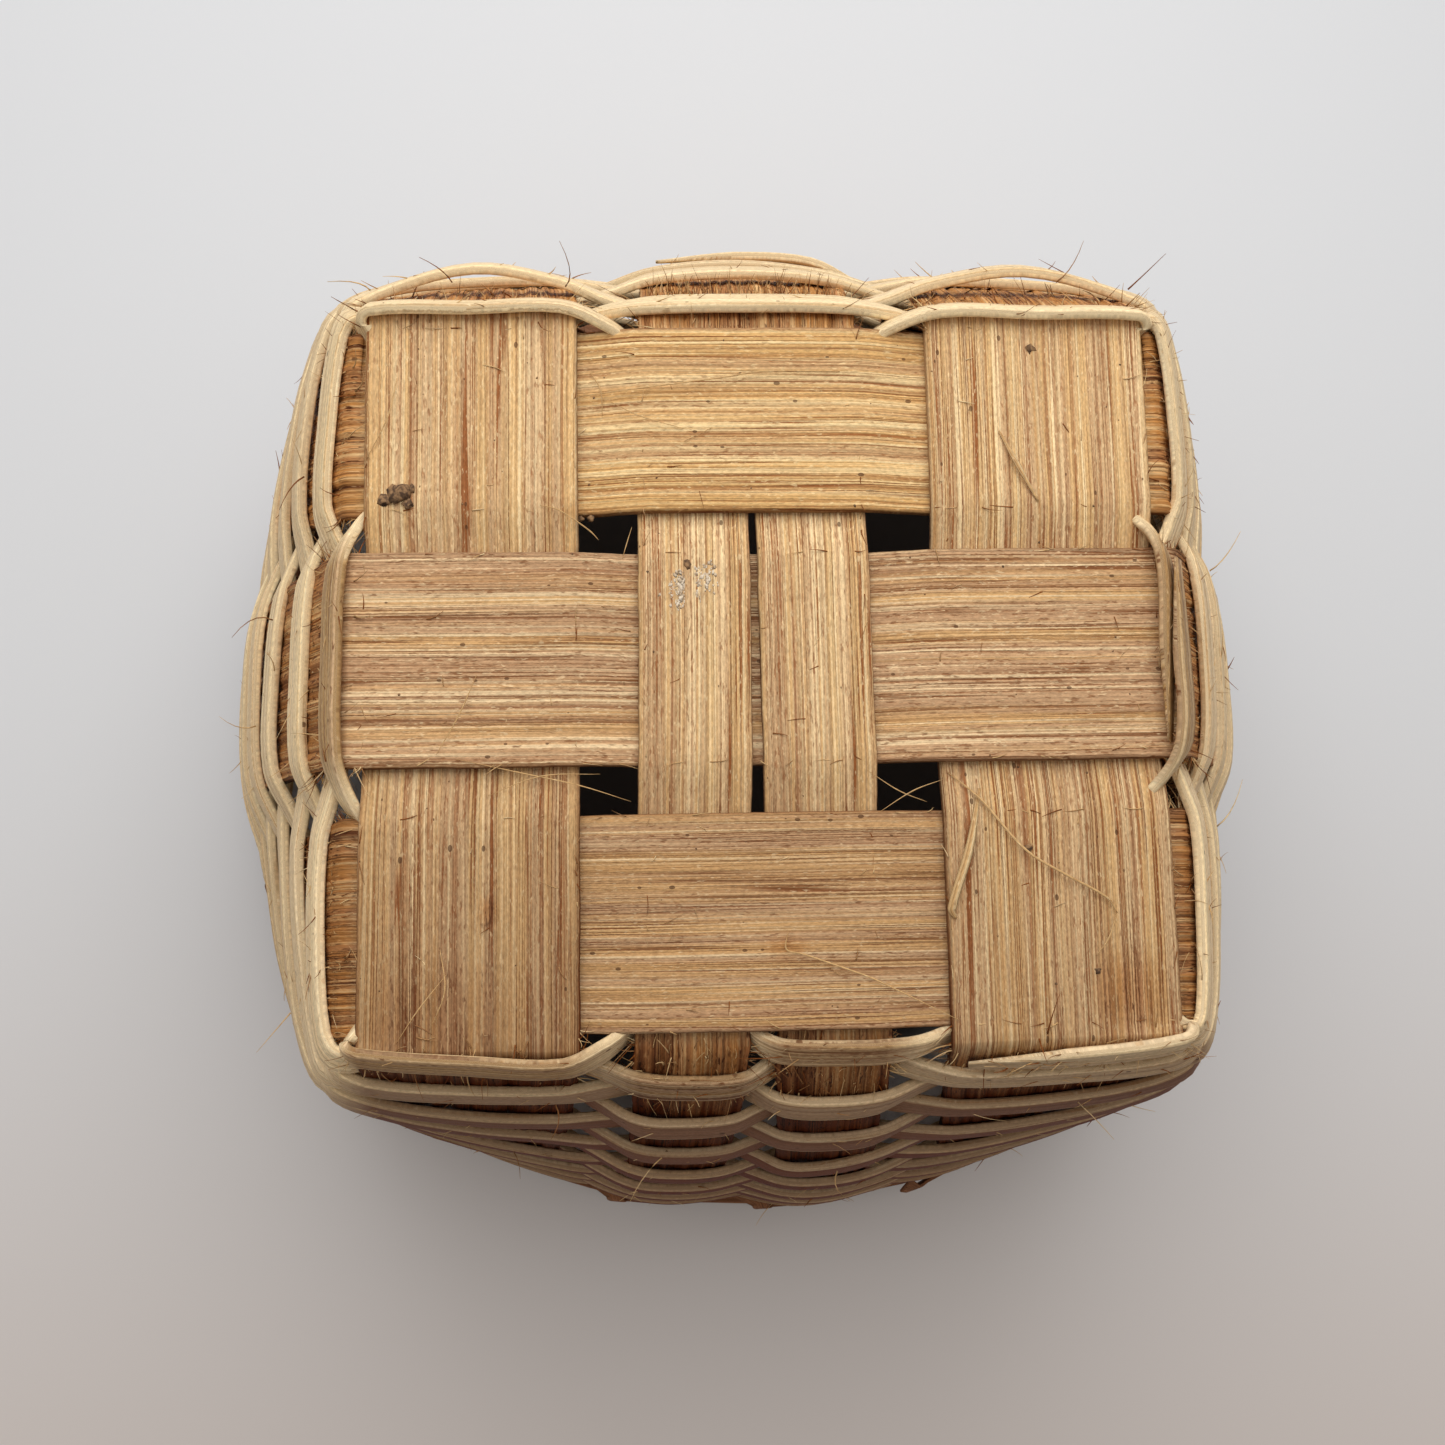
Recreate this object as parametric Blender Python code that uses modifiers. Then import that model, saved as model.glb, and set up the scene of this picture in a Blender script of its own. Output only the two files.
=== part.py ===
"""A miniature split reed basket, standing mouth down on its rim with its base up.

Six flat reed stakes are plain woven into the base and folded down into thirteen uprights.
One stake is split along its length at one end, which makes the number of uprights odd, so a
single strand of flat-oval reed can spiral round them, over one and under the next. Two hoops
and a lashing finish the mouth. +Y is the side with three whole uprights, +Z is the base side.
"""

import math
from dataclasses import dataclass

import bmesh
import bpy
from mathutils import Vector

MM = 0.001

# Reed stock
STAKE_THICKNESS = 1.1 * MM
WEAVER_WIDTH = 3.7 * MM
WEAVER_THICKNESS = 1.0 * MM
HOOP_WIDTH = 6.0 * MM
HOOP_THICKNESS = 1.6 * MM
LASHING_WIDTH = 2.4 * MM
LASHING_THICKNESS = 0.8 * MM

# Room left between pieces that touch, more beside a twisted upright or a bent lashing, and
# above and below the lashing where it passes the wall
TOUCH_GAP = 0.3 * MM
TWIST_ROOM = 0.3 * MM
LASHING_ROOM = 0.8 * MM

# Base field: stakes that run along Y from left to right, then stakes that run along X from
# top to bottom, each with the open gap to the next one
LEFT_STAKE_WIDTH = 17.8 * MM
LEFT_GAP = 5.3 * MM
MIDDLE_STAKE_WIDTH = 18.8 * MM
RIGHT_GAP = 5.8 * MM
RIGHT_STAKE_WIDTH = 18.9 * MM
TOP_STAKE_WIDTH = 16.2 * MM
TOP_GAP = 3.4 * MM
CENTRE_STAKE_WIDTH = 18.0 * MM
BOTTOM_GAP = 4.0 * MM
BOTTOM_STAKE_WIDTH = 17.6 * MM

# The lengthwise split in the middle stake, from its start to the base's edge
SPLIT_START_MARGIN = 7.0 * MM
SPLIT_GAP_AT_EDGE = 2.2 * MM

# Wall: its slope from the vertical, and how fast the slope settles
FLARE_AT_BASE = math.radians(46.0)
FLARE_AT_RIM = math.radians(20.0)
FLARE_FADE = 17.0 * MM
FOLD_MARGIN = 0.8 * MM
FOLD_FADE = 1.0 * MM
LEVEL_FADE = 5.0 * MM

# Mouth: a square with well rounded corners, a little off the base's centre as the hand left it.
# Its outline is a superellipse: |x|**power + |y|**power = 1 in half sizes, an oval at 2.
MOUTH_HALF_X = 61.5 * MM
MOUTH_HALF_Y = 57.5 * MM
MOUTH_POWER = 2.6
BASE_SHIFT_X = 0.2 * MM
BASE_SHIFT_Y = -2.8 * MM

# Uprights' pitches in the half turn round the top side, and the split pair's smaller pitch
HALF_TURN_PITCHES = 6
SPLIT_PITCH_SHARE = 0.62

# Spiral weave
ROW_PITCH = 4.3 * MM
ROW_COUNT = 15
FIRST_ROW_DROP = 3.5 * MM
SPAN_BOW = 0.5 * MM
CROSSING_ROOM = 0.2 * MM
FOLD_ROOM = 1.4 * MM
FOLD_ROOM_FADE = 2.0 * MM
CORNER_RUN = 2.0 * MM
INSIDE_RUN_SHARE = -0.4
FIRST_SPLICE_UPRIGHT = 2
SECOND_SPLICE_UPRIGHT = 96
TIP_WIDTH_SHARE = 0.3
FIRST_TURN_WIDTH_SHARE = 0.45

# An upright's edge, as a share of the run from its middle to the next one's, and how late
# along the wall an upright leans over and turns to its place in the mouth
EDGE_SHARE = 0.33
DRIFT_POWER = 1.5

# Steps of the wall's integration, and the stations along an upright as shares of its length
WALL_STEPS = 900
UPRIGHT_STATION_SHARES = (
    *(0.0, 0.008, 0.018, 0.03, 0.05, 0.08, 0.12),
    *(0.18, 0.26, 0.37, 0.5, 0.65, 0.8, 0.92, 1.0),
)

STAKE_OUTER_COLOUR = (0.57, 0.37, 0.18, 1.0)
STAKE_CROSS_COLOUR = (0.50, 0.30, 0.15, 1.0)
WEAVER_COLOUR = (0.62, 0.46, 0.28, 1.0)
HOOP_COLOUR = (0.36, 0.19, 0.09, 1.0)
LASHING_COLOUR = (0.55, 0.36, 0.19, 1.0)
REED_ROUGHNESS = 0.7

# Sizes that follow from the ones above
BASE_SIZE_X = LEFT_STAKE_WIDTH + LEFT_GAP + MIDDLE_STAKE_WIDTH + RIGHT_GAP + RIGHT_STAKE_WIDTH
BASE_SIZE_Y = TOP_STAKE_WIDTH + TOP_GAP + CENTRE_STAKE_WIDTH + BOTTOM_GAP + BOTTOM_STAKE_WIDTH
WEAVE_LIFT = (STAKE_THICKNESS + TOUCH_GAP) / 2
WEAVER_OFFSET = (STAKE_THICKNESS + WEAVER_THICKNESS) / 2 + TOUCH_GAP
HOOP_OFFSET = (STAKE_THICKNESS + HOOP_THICKNESS) / 2 + TOUCH_GAP + TWIST_ROOM
SPLICE_STEP = WEAVER_THICKNESS + TOUCH_GAP
LAST_ROW_EDGE = FIRST_ROW_DROP + ROW_COUNT * ROW_PITCH + WEAVER_WIDTH / 2
LASHING_TOP = LAST_ROW_EDGE + LASHING_ROOM + LASHING_THICKNESS / 2
HOOP_TOP = LASHING_TOP + LASHING_THICKNESS / 2 + LASHING_ROOM
WALL_LENGTH = HOOP_TOP + HOOP_WIDTH
LASHING_BOTTOM = WALL_LENGTH + TOUCH_GAP + TWIST_ROOM + LASHING_THICKNESS / 2
LASHING_OFFSET = HOOP_OFFSET + (HOOP_THICKNESS + LASHING_THICKNESS) / 2 + TOUCH_GAP + TWIST_ROOM
WALL_STEP = (LASHING_BOTTOM + LASHING_WIDTH) / WALL_STEPS


def wall_table() -> list[tuple[float, float]]:
    """Return how far the wall has run out and dropped after each step along it."""
    table = [(0.0, 0.0)]
    for step in range(WALL_STEPS):
        along = (step + 0.5) * WALL_STEP
        flare = FLARE_AT_RIM + (FLARE_AT_BASE - FLARE_AT_RIM) * math.exp(-along / FLARE_FADE)
        flare += (math.pi / 2 - FLARE_AT_BASE) * math.exp(-along / FOLD_FADE)
        out, drop = table[-1]
        table.append((out + WALL_STEP * math.sin(flare), drop + WALL_STEP * math.cos(flare)))
    return table


WALL_TABLE = wall_table()


def wall_at(along: float) -> tuple[float, float]:
    """Return the wall's run outward and its drop, at a length along it from the fold."""
    place = min(max(along / WALL_STEP, 0.0), WALL_STEPS - 1.0)
    index = int(place)
    part = place - index
    (out_a, drop_a), (out_b, drop_b) = WALL_TABLE[index], WALL_TABLE[index + 1]
    return out_a + (out_b - out_a) * part, drop_a + (drop_b - drop_a) * part


@dataclass
class Frame:
    """A place on an upright, with its directions down the wall, round the wall and outward."""

    place: Vector
    down: Vector
    around: Vector
    outward: Vector


@dataclass
class Upright:
    """One upright: a stake's end, folded down at the base's edge and led to the mouth."""

    foot: Vector
    side_angle: float
    width: float
    level: int
    mouth_angle: float

    def mouth_point(self) -> Vector:
        x = math.cos(self.mouth_angle)
        y = math.sin(self.mouth_angle)
        size = abs(x / MOUTH_HALF_X) ** MOUTH_POWER + abs(y / MOUTH_HALF_Y) ** MOUTH_POWER
        return Vector((x, y, 0.0)) * size ** (-1 / MOUTH_POWER)

    def mouth_normal_angle(self) -> float:
        point = self.mouth_point()
        x = math.copysign(abs(point.x / MOUTH_HALF_X) ** (MOUTH_POWER - 1) / MOUTH_HALF_X, point.x)
        y = math.copysign(abs(point.y / MOUTH_HALF_Y) ** (MOUTH_POWER - 1) / MOUTH_HALF_Y, point.y)
        angle = math.atan2(y, x)
        turns = round((self.side_angle - angle) / math.tau)
        return angle + turns * math.tau

    def progress(self, along: float) -> float:
        return wall_at(along)[0] / wall_at(WALL_LENGTH)[0]

    def place(self, along: float) -> Vector:
        """Return the middle of the upright at a length along the wall."""
        share = self.progress(along)
        straight = Vector((math.cos(self.side_angle), math.sin(self.side_angle), 0.0))
        sideways = Vector((-straight.y, straight.x, 0.0))
        run = self.mouth_point() - self.foot
        place = self.foot + straight * run.dot(straight) * share
        place += sideways * run.dot(sideways) * share**DRIFT_POWER
        place.z = self.level * WEAVE_LIFT * math.exp(-along / LEVEL_FADE) - wall_at(along)[1]
        return place

    def frame(self, along: float) -> Frame:
        """Return the place and directions of the upright at a length along the wall."""
        down = (self.place(along + WALL_STEP) - self.place(along)).normalized()
        share = self.progress(along) ** DRIFT_POWER
        angle = self.side_angle + (self.mouth_normal_angle() - self.side_angle) * share
        outward = down.cross(Vector((-math.sin(angle), math.cos(angle), 0.0))).normalized()
        return Frame(self.place(along), down, outward.cross(down), outward)


@dataclass
class Strip:
    """A base stake: where it lies, its width, and the pattern of its crossings."""

    centre: float
    width: float
    first_level: int


def laid_out(size: float, widths: list[float], gaps: list[float], first_level: int) -> list[Strip]:
    """Return strips side by side across a size, centred on zero."""
    strips = []
    edge = -size / 2
    for index, width in enumerate(widths):
        strips.append(Strip(edge + width / 2, width, first_level * (-1) ** index))
        edge += width + (gaps[index] if index < len(gaps) else 0.0)
    return strips


ALONG_Y = laid_out(
    BASE_SIZE_X, [LEFT_STAKE_WIDTH, MIDDLE_STAKE_WIDTH, RIGHT_STAKE_WIDTH], [LEFT_GAP, RIGHT_GAP], 1
)
ALONG_X = laid_out(
    BASE_SIZE_Y,
    [BOTTOM_STAKE_WIDTH, CENTRE_STAKE_WIDTH, TOP_STAKE_WIDTH],
    [BOTTOM_GAP, TOP_GAP],
    -1,
)
BASE_SHIFT = Vector((BASE_SHIFT_X, BASE_SHIFT_Y, 0.0))
SPLIT_HALF_WIDTH = MIDDLE_STAKE_WIDTH / 2
SPLIT_HALF_CENTRE = (SPLIT_HALF_WIDTH + SPLIT_GAP_AT_EDGE) / 2

BOTTOM_SIDE, RIGHT_SIDE, TOP_SIDE, LEFT_SIDE = -math.pi / 2, 0.0, math.pi / 2, math.pi
WHOLE_PITCH_TOP = math.pi / HALF_TURN_PITCHES
WHOLE_PITCH_BOTTOM = math.pi / (HALF_TURN_PITCHES - 1 + 2 * SPLIT_PITCH_SHARE)
SPLIT_PITCH = WHOLE_PITCH_BOTTOM * SPLIT_PITCH_SHARE


def uprights_in_order() -> list[Upright]:
    """Return the uprights counterclockwise from the right stake's foot, seen from the base side."""
    left, middle, right = ALONG_Y
    bottom, centre, top = ALONG_X
    half_x = BASE_SIZE_X / 2 + FOLD_MARGIN
    half_y = BASE_SIZE_Y / 2 + FOLD_MARGIN
    down_angle = BOTTOM_SIDE + SPLIT_PITCH / 2

    def foot(x: float, y: float) -> Vector:
        return Vector((x, y, 0.0)) + BASE_SHIFT

    corner_angle = down_angle + (SPLIT_PITCH + WHOLE_PITCH_BOTTOM) / 2
    return [
        Upright(foot(right.centre, -half_y), BOTTOM_SIDE, right.width, 1, corner_angle),
        Upright(foot(half_x, bottom.centre), RIGHT_SIDE, bottom.width, -1, -WHOLE_PITCH_BOTTOM),
        Upright(foot(half_x, centre.centre), RIGHT_SIDE, centre.width, 1, 0.0),
        Upright(foot(half_x, top.centre), RIGHT_SIDE, top.width, -1, WHOLE_PITCH_TOP),
        Upright(foot(right.centre, half_y), TOP_SIDE, right.width, 1, 2 * WHOLE_PITCH_TOP),
        Upright(foot(middle.centre, half_y), TOP_SIDE, middle.width, -1, 3 * WHOLE_PITCH_TOP),
        Upright(foot(left.centre, half_y), TOP_SIDE, left.width, 1, 4 * WHOLE_PITCH_TOP),
        Upright(foot(-half_x, top.centre), LEFT_SIDE, top.width, -1, 5 * WHOLE_PITCH_TOP),
        Upright(foot(-half_x, centre.centre), LEFT_SIDE, centre.width, 1, math.pi),
        Upright(foot(-half_x, bottom.centre), LEFT_SIDE, bottom.width, -1, math.pi + WHOLE_PITCH_BOTTOM),
        Upright(foot(left.centre, -half_y), BOTTOM_SIDE, left.width, 1, math.pi - corner_angle),
        Upright(
            foot(middle.centre - SPLIT_HALF_CENTRE, -half_y),
            BOTTOM_SIDE,
            SPLIT_HALF_WIDTH,
            -1,
            BOTTOM_SIDE - SPLIT_PITCH / 2,
        ),
        Upright(
            foot(middle.centre + SPLIT_HALF_CENTRE, -half_y),
            BOTTOM_SIDE,
            SPLIT_HALF_WIDTH,
            -1,
            down_angle,
        ),
    ]


UPRIGHTS = uprights_in_order()
COUNT = len(UPRIGHTS)


def turn_angle(index: int, step: int, along: float) -> float:
    """Return how far the wall turns from one upright to the next one at this length."""
    here = UPRIGHTS[index % COUNT].frame(along).outward
    there = UPRIGHTS[(index + step) % COUNT].frame(along).outward
    here.z = there.z = 0.0
    return here.angle(there)


def on_wall(turn: float, along: float, offset: float) -> Frame:
    """Return a frame on the wall, at a turn counted in uprights, offset outward from its middle."""
    index = math.floor(turn + 0.5)
    part = turn - index
    if abs(part) <= EDGE_SHARE:
        return over_upright(index, part / EDGE_SHARE, along, offset)
    step = 1 if part > 0 else -1
    near = over_upright(index, step, along, offset)
    far = over_upright(index + step, -step, along, offset)
    share = (abs(part) - EDGE_SHARE) / (1 - 2 * EDGE_SHARE)
    return Frame(
        near.place.lerp(far.place, share),
        near.down.lerp(far.down, share).normalized(),
        near.around.lerp(far.around, share).normalized(),
        near.outward.lerp(far.outward, share).normalized(),
    )


def over_upright(index: int, across: float, along: float, offset: float) -> Frame:
    """Return a frame beside an upright: across runs from -1 at one edge to 1 at the other."""
    upright = UPRIGHTS[index % COUNT]
    frame = upright.frame(along)
    reach = upright.width / 2
    if across:
        run = CORNER_RUN * math.sin(turn_angle(index, 1 if across > 0 else -1, along))
        reach += run * (1 if offset > 0 else INSIDE_RUN_SHARE)
    frame.place = frame.place + frame.around * across * reach + frame.outward * offset
    return frame


def material(name: str, colour: tuple[float, float, float, float]) -> bpy.types.Material:
    made = bpy.data.materials.new(name)
    made.use_nodes = True
    shader = made.node_tree.nodes["Principled BSDF"]
    shader.inputs["Base Color"].default_value = colour
    shader.inputs["Roughness"].default_value = REED_ROUGHNESS
    shader.inputs["Metallic"].default_value = 0.0
    made.diffuse_color = colour
    return made


def extruded(bm: bmesh.types.BMesh, row: list, points: list[Vector]) -> list:
    """Extrude a row of vertices to new places, and return the new row.

    Args:
        bm: The mesh being built.
        row: Its last row of vertices, joined by edges in order.
        points: Where each vertex of the new row goes.
    """
    edges = [bm.edges.get(pair) for pair in zip(row, row[1:])]
    made = bmesh.ops.extrude_edge_only(bm, edges=edges)["geom"]
    fresh = {item for item in made if isinstance(item, bmesh.types.BMVert)}
    new_row = []
    for vert, point in zip(row, points):
        others = [edge.other_vert(vert) for edge in vert.link_edges]
        pulled = next(other for other in others if other in fresh)
        pulled.co = point
        new_row.append(pulled)
    return new_row


def first_row(bm: bmesh.types.BMesh, points: list[Vector]) -> list:
    """Start a sheet with a row of joined vertices."""
    row = [bm.verts.new(point) for point in points]
    for pair in zip(row, row[1:]):
        bm.edges.new(pair)
    return row


def finished(
    name: str,
    bm: bmesh.types.BMesh,
    thickness: float,
    colour: tuple[float, float, float, float],
    home: bpy.types.Collection,
) -> bpy.types.Object:
    """Turn a sheet into a named solid of an even thickness."""
    mesh = bpy.data.meshes.new(name)
    bm.to_mesh(mesh)
    bm.free()
    mesh.materials.append(material(name + "_reed", colour))
    solid = bpy.data.objects.new(name, mesh)
    home.objects.link(solid)
    shell = solid.modifiers.new("thickness", "SOLIDIFY")
    shell.thickness = thickness
    shell.offset = 0.0
    shell.use_even_offset = True
    return solid


def across(frame: Frame, width: float, flip: int = 1) -> list[Vector]:
    """Return the two edges of a stake's cross-section at a frame."""
    reach = frame.around * width / 2 * flip
    return [frame.place - reach, frame.place + reach]


def upright_rows(upright: Upright, flip: int, parts: int) -> list[list[Vector]]:
    """Return the rows of an upright from its foot to its end, each from edge to edge."""
    rows = []
    for share in UPRIGHT_STATION_SHARES:
        low, high = across(upright.frame(share * WALL_LENGTH), upright.width, flip)
        rows.append([low.lerp(high, part / parts) for part in range(parts + 1)])
    return rows


def crossing_stations(crossed: list[Strip], level: int) -> list[tuple[float, float]]:
    """Return places along a base stake with its height there, inside the base's edges."""
    stations = []
    for index, strip in enumerate(crossed):
        height = level * (-1) ** index * WEAVE_LIFT
        stations.append((strip.centre - strip.width / 2, height))
        stations.append((strip.centre + strip.width / 2, height))
    return stations[1:-1]


def base_row(
    centre: float, reaches: list[float], place: float, height: float, runs_along_y: bool
) -> list[Vector]:
    """Return one row of a base stake, from edge to edge."""
    if runs_along_y:
        return [Vector((centre + reach, place, height)) + BASE_SHIFT for reach in reaches]
    return [Vector((-place, centre + reach, height)) + BASE_SHIFT for reach in reaches]


def mirrored(strips: list[Strip]) -> list[Strip]:
    """Return the strips met when the same field is walked the other way."""
    return [Strip(-strip.centre, strip.width, strip.first_level) for strip in reversed(strips)]


def add_whole_stake(
    name: str,
    strip: Strip,
    crossed: list[Strip],
    ends: tuple[Upright, Upright],
    runs_along_y: bool,
    home: bpy.types.Collection,
) -> bpy.types.Object:
    """Make a stake that is whole from one end to the other.

    Args:
        name: The node's name.
        strip: The stake's place in the base.
        crossed: The strips that it crosses, in the order that it meets them.
        ends: Its first and its last upright.
        runs_along_y: Whether it runs along Y, and along -X otherwise.
        home: The collection that it goes in.
    """
    half = strip.width / 2
    rows = list(reversed(upright_rows(ends[0], 1, 1)))
    for place, height in crossing_stations(crossed, strip.first_level):
        rows.append(base_row(strip.centre, [-half, half], place, height, runs_along_y))
    rows += upright_rows(ends[1], -1, 1)
    bm = bmesh.new()
    row = first_row(bm, rows[0])
    for points in rows[1:]:
        row = extruded(bm, row, points)
    colour = STAKE_OUTER_COLOUR if runs_along_y else STAKE_CROSS_COLOUR
    return finished(name, bm, STAKE_THICKNESS, colour, home)


def add_split_stake(
    name: str,
    strip: Strip,
    crossed: list[Strip],
    halves: tuple[Upright, Upright],
    whole: Upright,
    home: bpy.types.Collection,
) -> bpy.types.Object:
    """Make the middle stake, split along its length from under the top stake to its lower end."""
    half = strip.width / 2
    bm = bmesh.new()
    rows = list(reversed(upright_rows(whole, -1, 2)))
    start = BASE_SIZE_Y / 2 - SPLIT_START_MARGIN
    top_height = crossing_stations(crossed, strip.first_level)[-1][1]
    rows.append(base_row(strip.centre, [-half, 0.0, half], start, top_height, True))
    row = first_row(bm, rows[0])
    for points in rows[1:]:
        row = extruded(bm, row, points)
    stations = list(reversed(crossing_stations(crossed, strip.first_level)))
    for side, pair, upright in ((-1, row[:2], halves[0]), (1, row[1:], halves[1])):
        strand = pair
        for place, height in stations:
            opened = (start - place) / (start + BASE_SIZE_Y / 2) * SPLIT_GAP_AT_EDGE / 2
            reaches = sorted([side * opened, side * (opened + SPLIT_HALF_WIDTH)])
            strand = extruded(bm, strand, base_row(strip.centre, reaches, place, height, True))
        for points in upright_rows(upright, 1, 1):
            strand = extruded(bm, strand, points)
    return finished(name, bm, STAKE_THICKNESS, STAKE_OUTER_COLOUR, home)


def row_length(turn: float) -> float:
    """Return how far down the wall the spiral lies at a turn counted in uprights."""
    return FIRST_ROW_DROP + ROW_PITCH * turn / COUNT


def strand_width(turn: float) -> float:
    """Return the weaver's width, which grows to its full size over the first row."""
    grown = min(max(turn / COUNT, 0.0), 1.0)
    return WEAVER_WIDTH * (FIRST_TURN_WIDTH_SHARE + (1 - FIRST_TURN_WIDTH_SHARE) * grown)


def weave_side(number: int) -> int:
    """Return 1 where the spiral passes outside an upright, and -1 inside."""
    return 1 if number % 2 == 0 else -1


def weave_offset(number: int, across_share: float, layer: float) -> float:
    """Return the spiral's offset from the wall over one upright.

    Args:
        number: The upright's number along the spiral.
        across_share: From -1 at one edge of the upright to 1 at the other.
        layer: How far the strand is stepped outward, where it ends over the next strand's start.
    """
    side = weave_side(number)
    along = row_length(number)
    room = FOLD_ROOM * math.exp(-along / FOLD_ROOM_FADE) if side < 0 else 0.0
    bow = SPAN_BOW * (1 - across_share**2)
    return side * (WEAVER_OFFSET + CROSSING_ROOM + room + bow) + layer


def add_weaver(name: str, start: int, end: int, home: bpy.types.Collection) -> bpy.types.Object:
    """Make one length of the spiral, from one upright to another.

    Args:
        name: The node's name.
        start: The number of its first upright along the spiral.
        end: The number of its last upright.
        home: The collection that it goes in.
    """
    rows = []
    for number in range(start, end + 1):
        layer = SPLICE_STEP if number == end and end < ROW_COUNT * COUNT else 0.0
        for share in (-1.0, 0.0, 1.0):
            turn = number + share * EDGE_SHARE
            offset = weave_offset(number, share, layer)
            tip = (number == start and share < 0) or (number == end and share > 0)
            width = strand_width(turn) * (TIP_WIDTH_SHARE if tip else 1.0)
            frame = on_wall(turn, row_length(turn), offset)
            reach = frame.down * width / 2
            rows.append([frame.place - reach, frame.place + reach])
    bm = bmesh.new()
    row = first_row(bm, rows[0])
    for points in rows[1:]:
        row = extruded(bm, row, points)
    return finished(name, bm, WEAVER_THICKNESS, WEAVER_COLOUR, home)


def add_hoop(name: str, side: int, home: bpy.types.Collection) -> bpy.types.Object:
    """Make a rim hoop, outside the uprights with side 1 and inside them with side -1."""
    rows = []
    for number in range(COUNT):
        for share in (-EDGE_SHARE, EDGE_SHARE):
            high = on_wall(number + share, HOOP_TOP, side * HOOP_OFFSET)
            low = on_wall(number + share, WALL_LENGTH, side * HOOP_OFFSET)
            rows.append([high.place, low.place])
    bm = bmesh.new()
    start = row = first_row(bm, rows[0])
    for points in rows[1:]:
        row = extruded(bm, row, points)
    bmesh.ops.bridge_loops(bm, edges=[bm.edges.get(row), bm.edges.get(start)])
    return finished(name, bm, HOOP_THICKNESS, HOOP_COLOUR, home)


@dataclass
class LashingPoint:
    """A point of the lashing's path round the rim, within one wrap.

    The turn's share is of the run from upright to upright, and the depth's of the way from the
    weave side of the hoops, at 0, to the mouth side, at 1.
    """

    turn_share: float
    side: int
    depth_share: float


LASHING_PATH_SHARES = (
    LashingPoint(-0.45, 1, 0.0),
    LashingPoint(-EDGE_SHARE, 1, 0.31),
    LashingPoint(-0.06, 1, 1.0),
    LashingPoint(0.06, -1, 1.0),
    LashingPoint(0.45, -1, 0.0),
)


def add_lashing(name: str, home: bpy.types.Collection) -> bpy.types.Object:
    """Make the lashing: one strip wound round both hoops, once for each upright."""
    stations = []
    for number in range(COUNT):
        for point in LASHING_PATH_SHARES:
            along = LASHING_TOP + (LASHING_BOTTOM - LASHING_TOP) * point.depth_share
            frame = on_wall(number + point.turn_share, along, point.side * LASHING_OFFSET)
            corner = {0.0: -1, 1.0: 1}.get(point.depth_share, 0)
            facing = frame.outward * point.side + frame.down * corner
            stations.append((frame.place, facing.normalized()))
    rows = []
    for index, (place, facing) in enumerate(stations):
        before = stations[max(index - 1, 0)][0]
        after = stations[min(index + 1, len(stations) - 1)][0]
        reach = (after - before).cross(facing).normalized() * LASHING_WIDTH / 2
        rows.append([place - reach, place + reach])
    bm = bmesh.new()
    row = first_row(bm, rows[0])
    for points in rows[1:]:
        row = extruded(bm, row, points)
    return finished(name, bm, LASHING_THICKNESS, LASHING_COLOUR, home)


def clear_scene() -> None:
    for old in list(bpy.data.objects):
        bpy.data.objects.remove(old)


def lowest_point(solids: list[bpy.types.Object]) -> float:
    """Return the height of the lowest vertex of the finished solids."""
    bpy.context.view_layer.update()
    graph = bpy.context.evaluated_depsgraph_get()
    lowest = 0.0
    for solid in solids:
        evaluated = solid.evaluated_get(graph)
        mesh = evaluated.to_mesh()
        lowest = min(lowest, min(vert.co.z for vert in mesh.vertices))
        evaluated.to_mesh_clear()
    return lowest


def build_basket() -> None:
    """Build every piece of the basket and stand it on its rim."""
    clear_scene()
    home = bpy.data.collections.new("split_reed_basket")
    bpy.context.scene.collection.children.link(home)
    left, middle, right = ALONG_Y
    bottom, centre, top = ALONG_X
    ends = UPRIGHTS
    halves = (ends[11], ends[12])
    across_y = mirrored(ALONG_Y)
    solids = [
        add_whole_stake("stake_left", left, ALONG_X, (ends[10], ends[6]), True, home),
        add_split_stake("stake_middle_split", middle, ALONG_X, halves, ends[5], home),
        add_whole_stake("stake_right", right, ALONG_X, (ends[0], ends[4]), True, home),
        add_whole_stake("stake_cross_top", top, across_y, (ends[3], ends[7]), False, home),
        add_whole_stake("stake_cross_centre", centre, across_y, (ends[2], ends[8]), False, home),
        add_whole_stake("stake_cross_bottom", bottom, across_y, (ends[1], ends[9]), False, home),
        add_weaver("weaver_first_length", 0, FIRST_SPLICE_UPRIGHT, home),
        add_weaver("weaver_second_length", FIRST_SPLICE_UPRIGHT, SECOND_SPLICE_UPRIGHT, home),
        add_weaver("weaver_third_length", SECOND_SPLICE_UPRIGHT, ROW_COUNT * COUNT, home),
        add_hoop("rim_hoop_outer", 1, home),
        add_hoop("rim_hoop_inner", -1, home),
        add_lashing("rim_lashing", home),
    ]
    stand = bpy.data.objects.new("basket_stand", None)
    home.objects.link(stand)
    stand.location.z = -lowest_point(solids)
    for solid in solids:
        solid.parent = stand


build_basket()
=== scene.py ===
"""Dresses a miniature split reed basket that stands mouth down on its rim, with its base up.

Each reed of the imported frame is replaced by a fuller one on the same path: flat stakes with
their grain, a flat-oval weaver that spirals over and under them, the rim's hoops and lashing,
and the fibres that have come loose. +Y is the side with three whole uprights.
"""

import logging
import math
import random
from dataclasses import dataclass, field
from enum import Enum

import bmesh
import bpy
from mathutils import Matrix, Vector, noise


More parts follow.
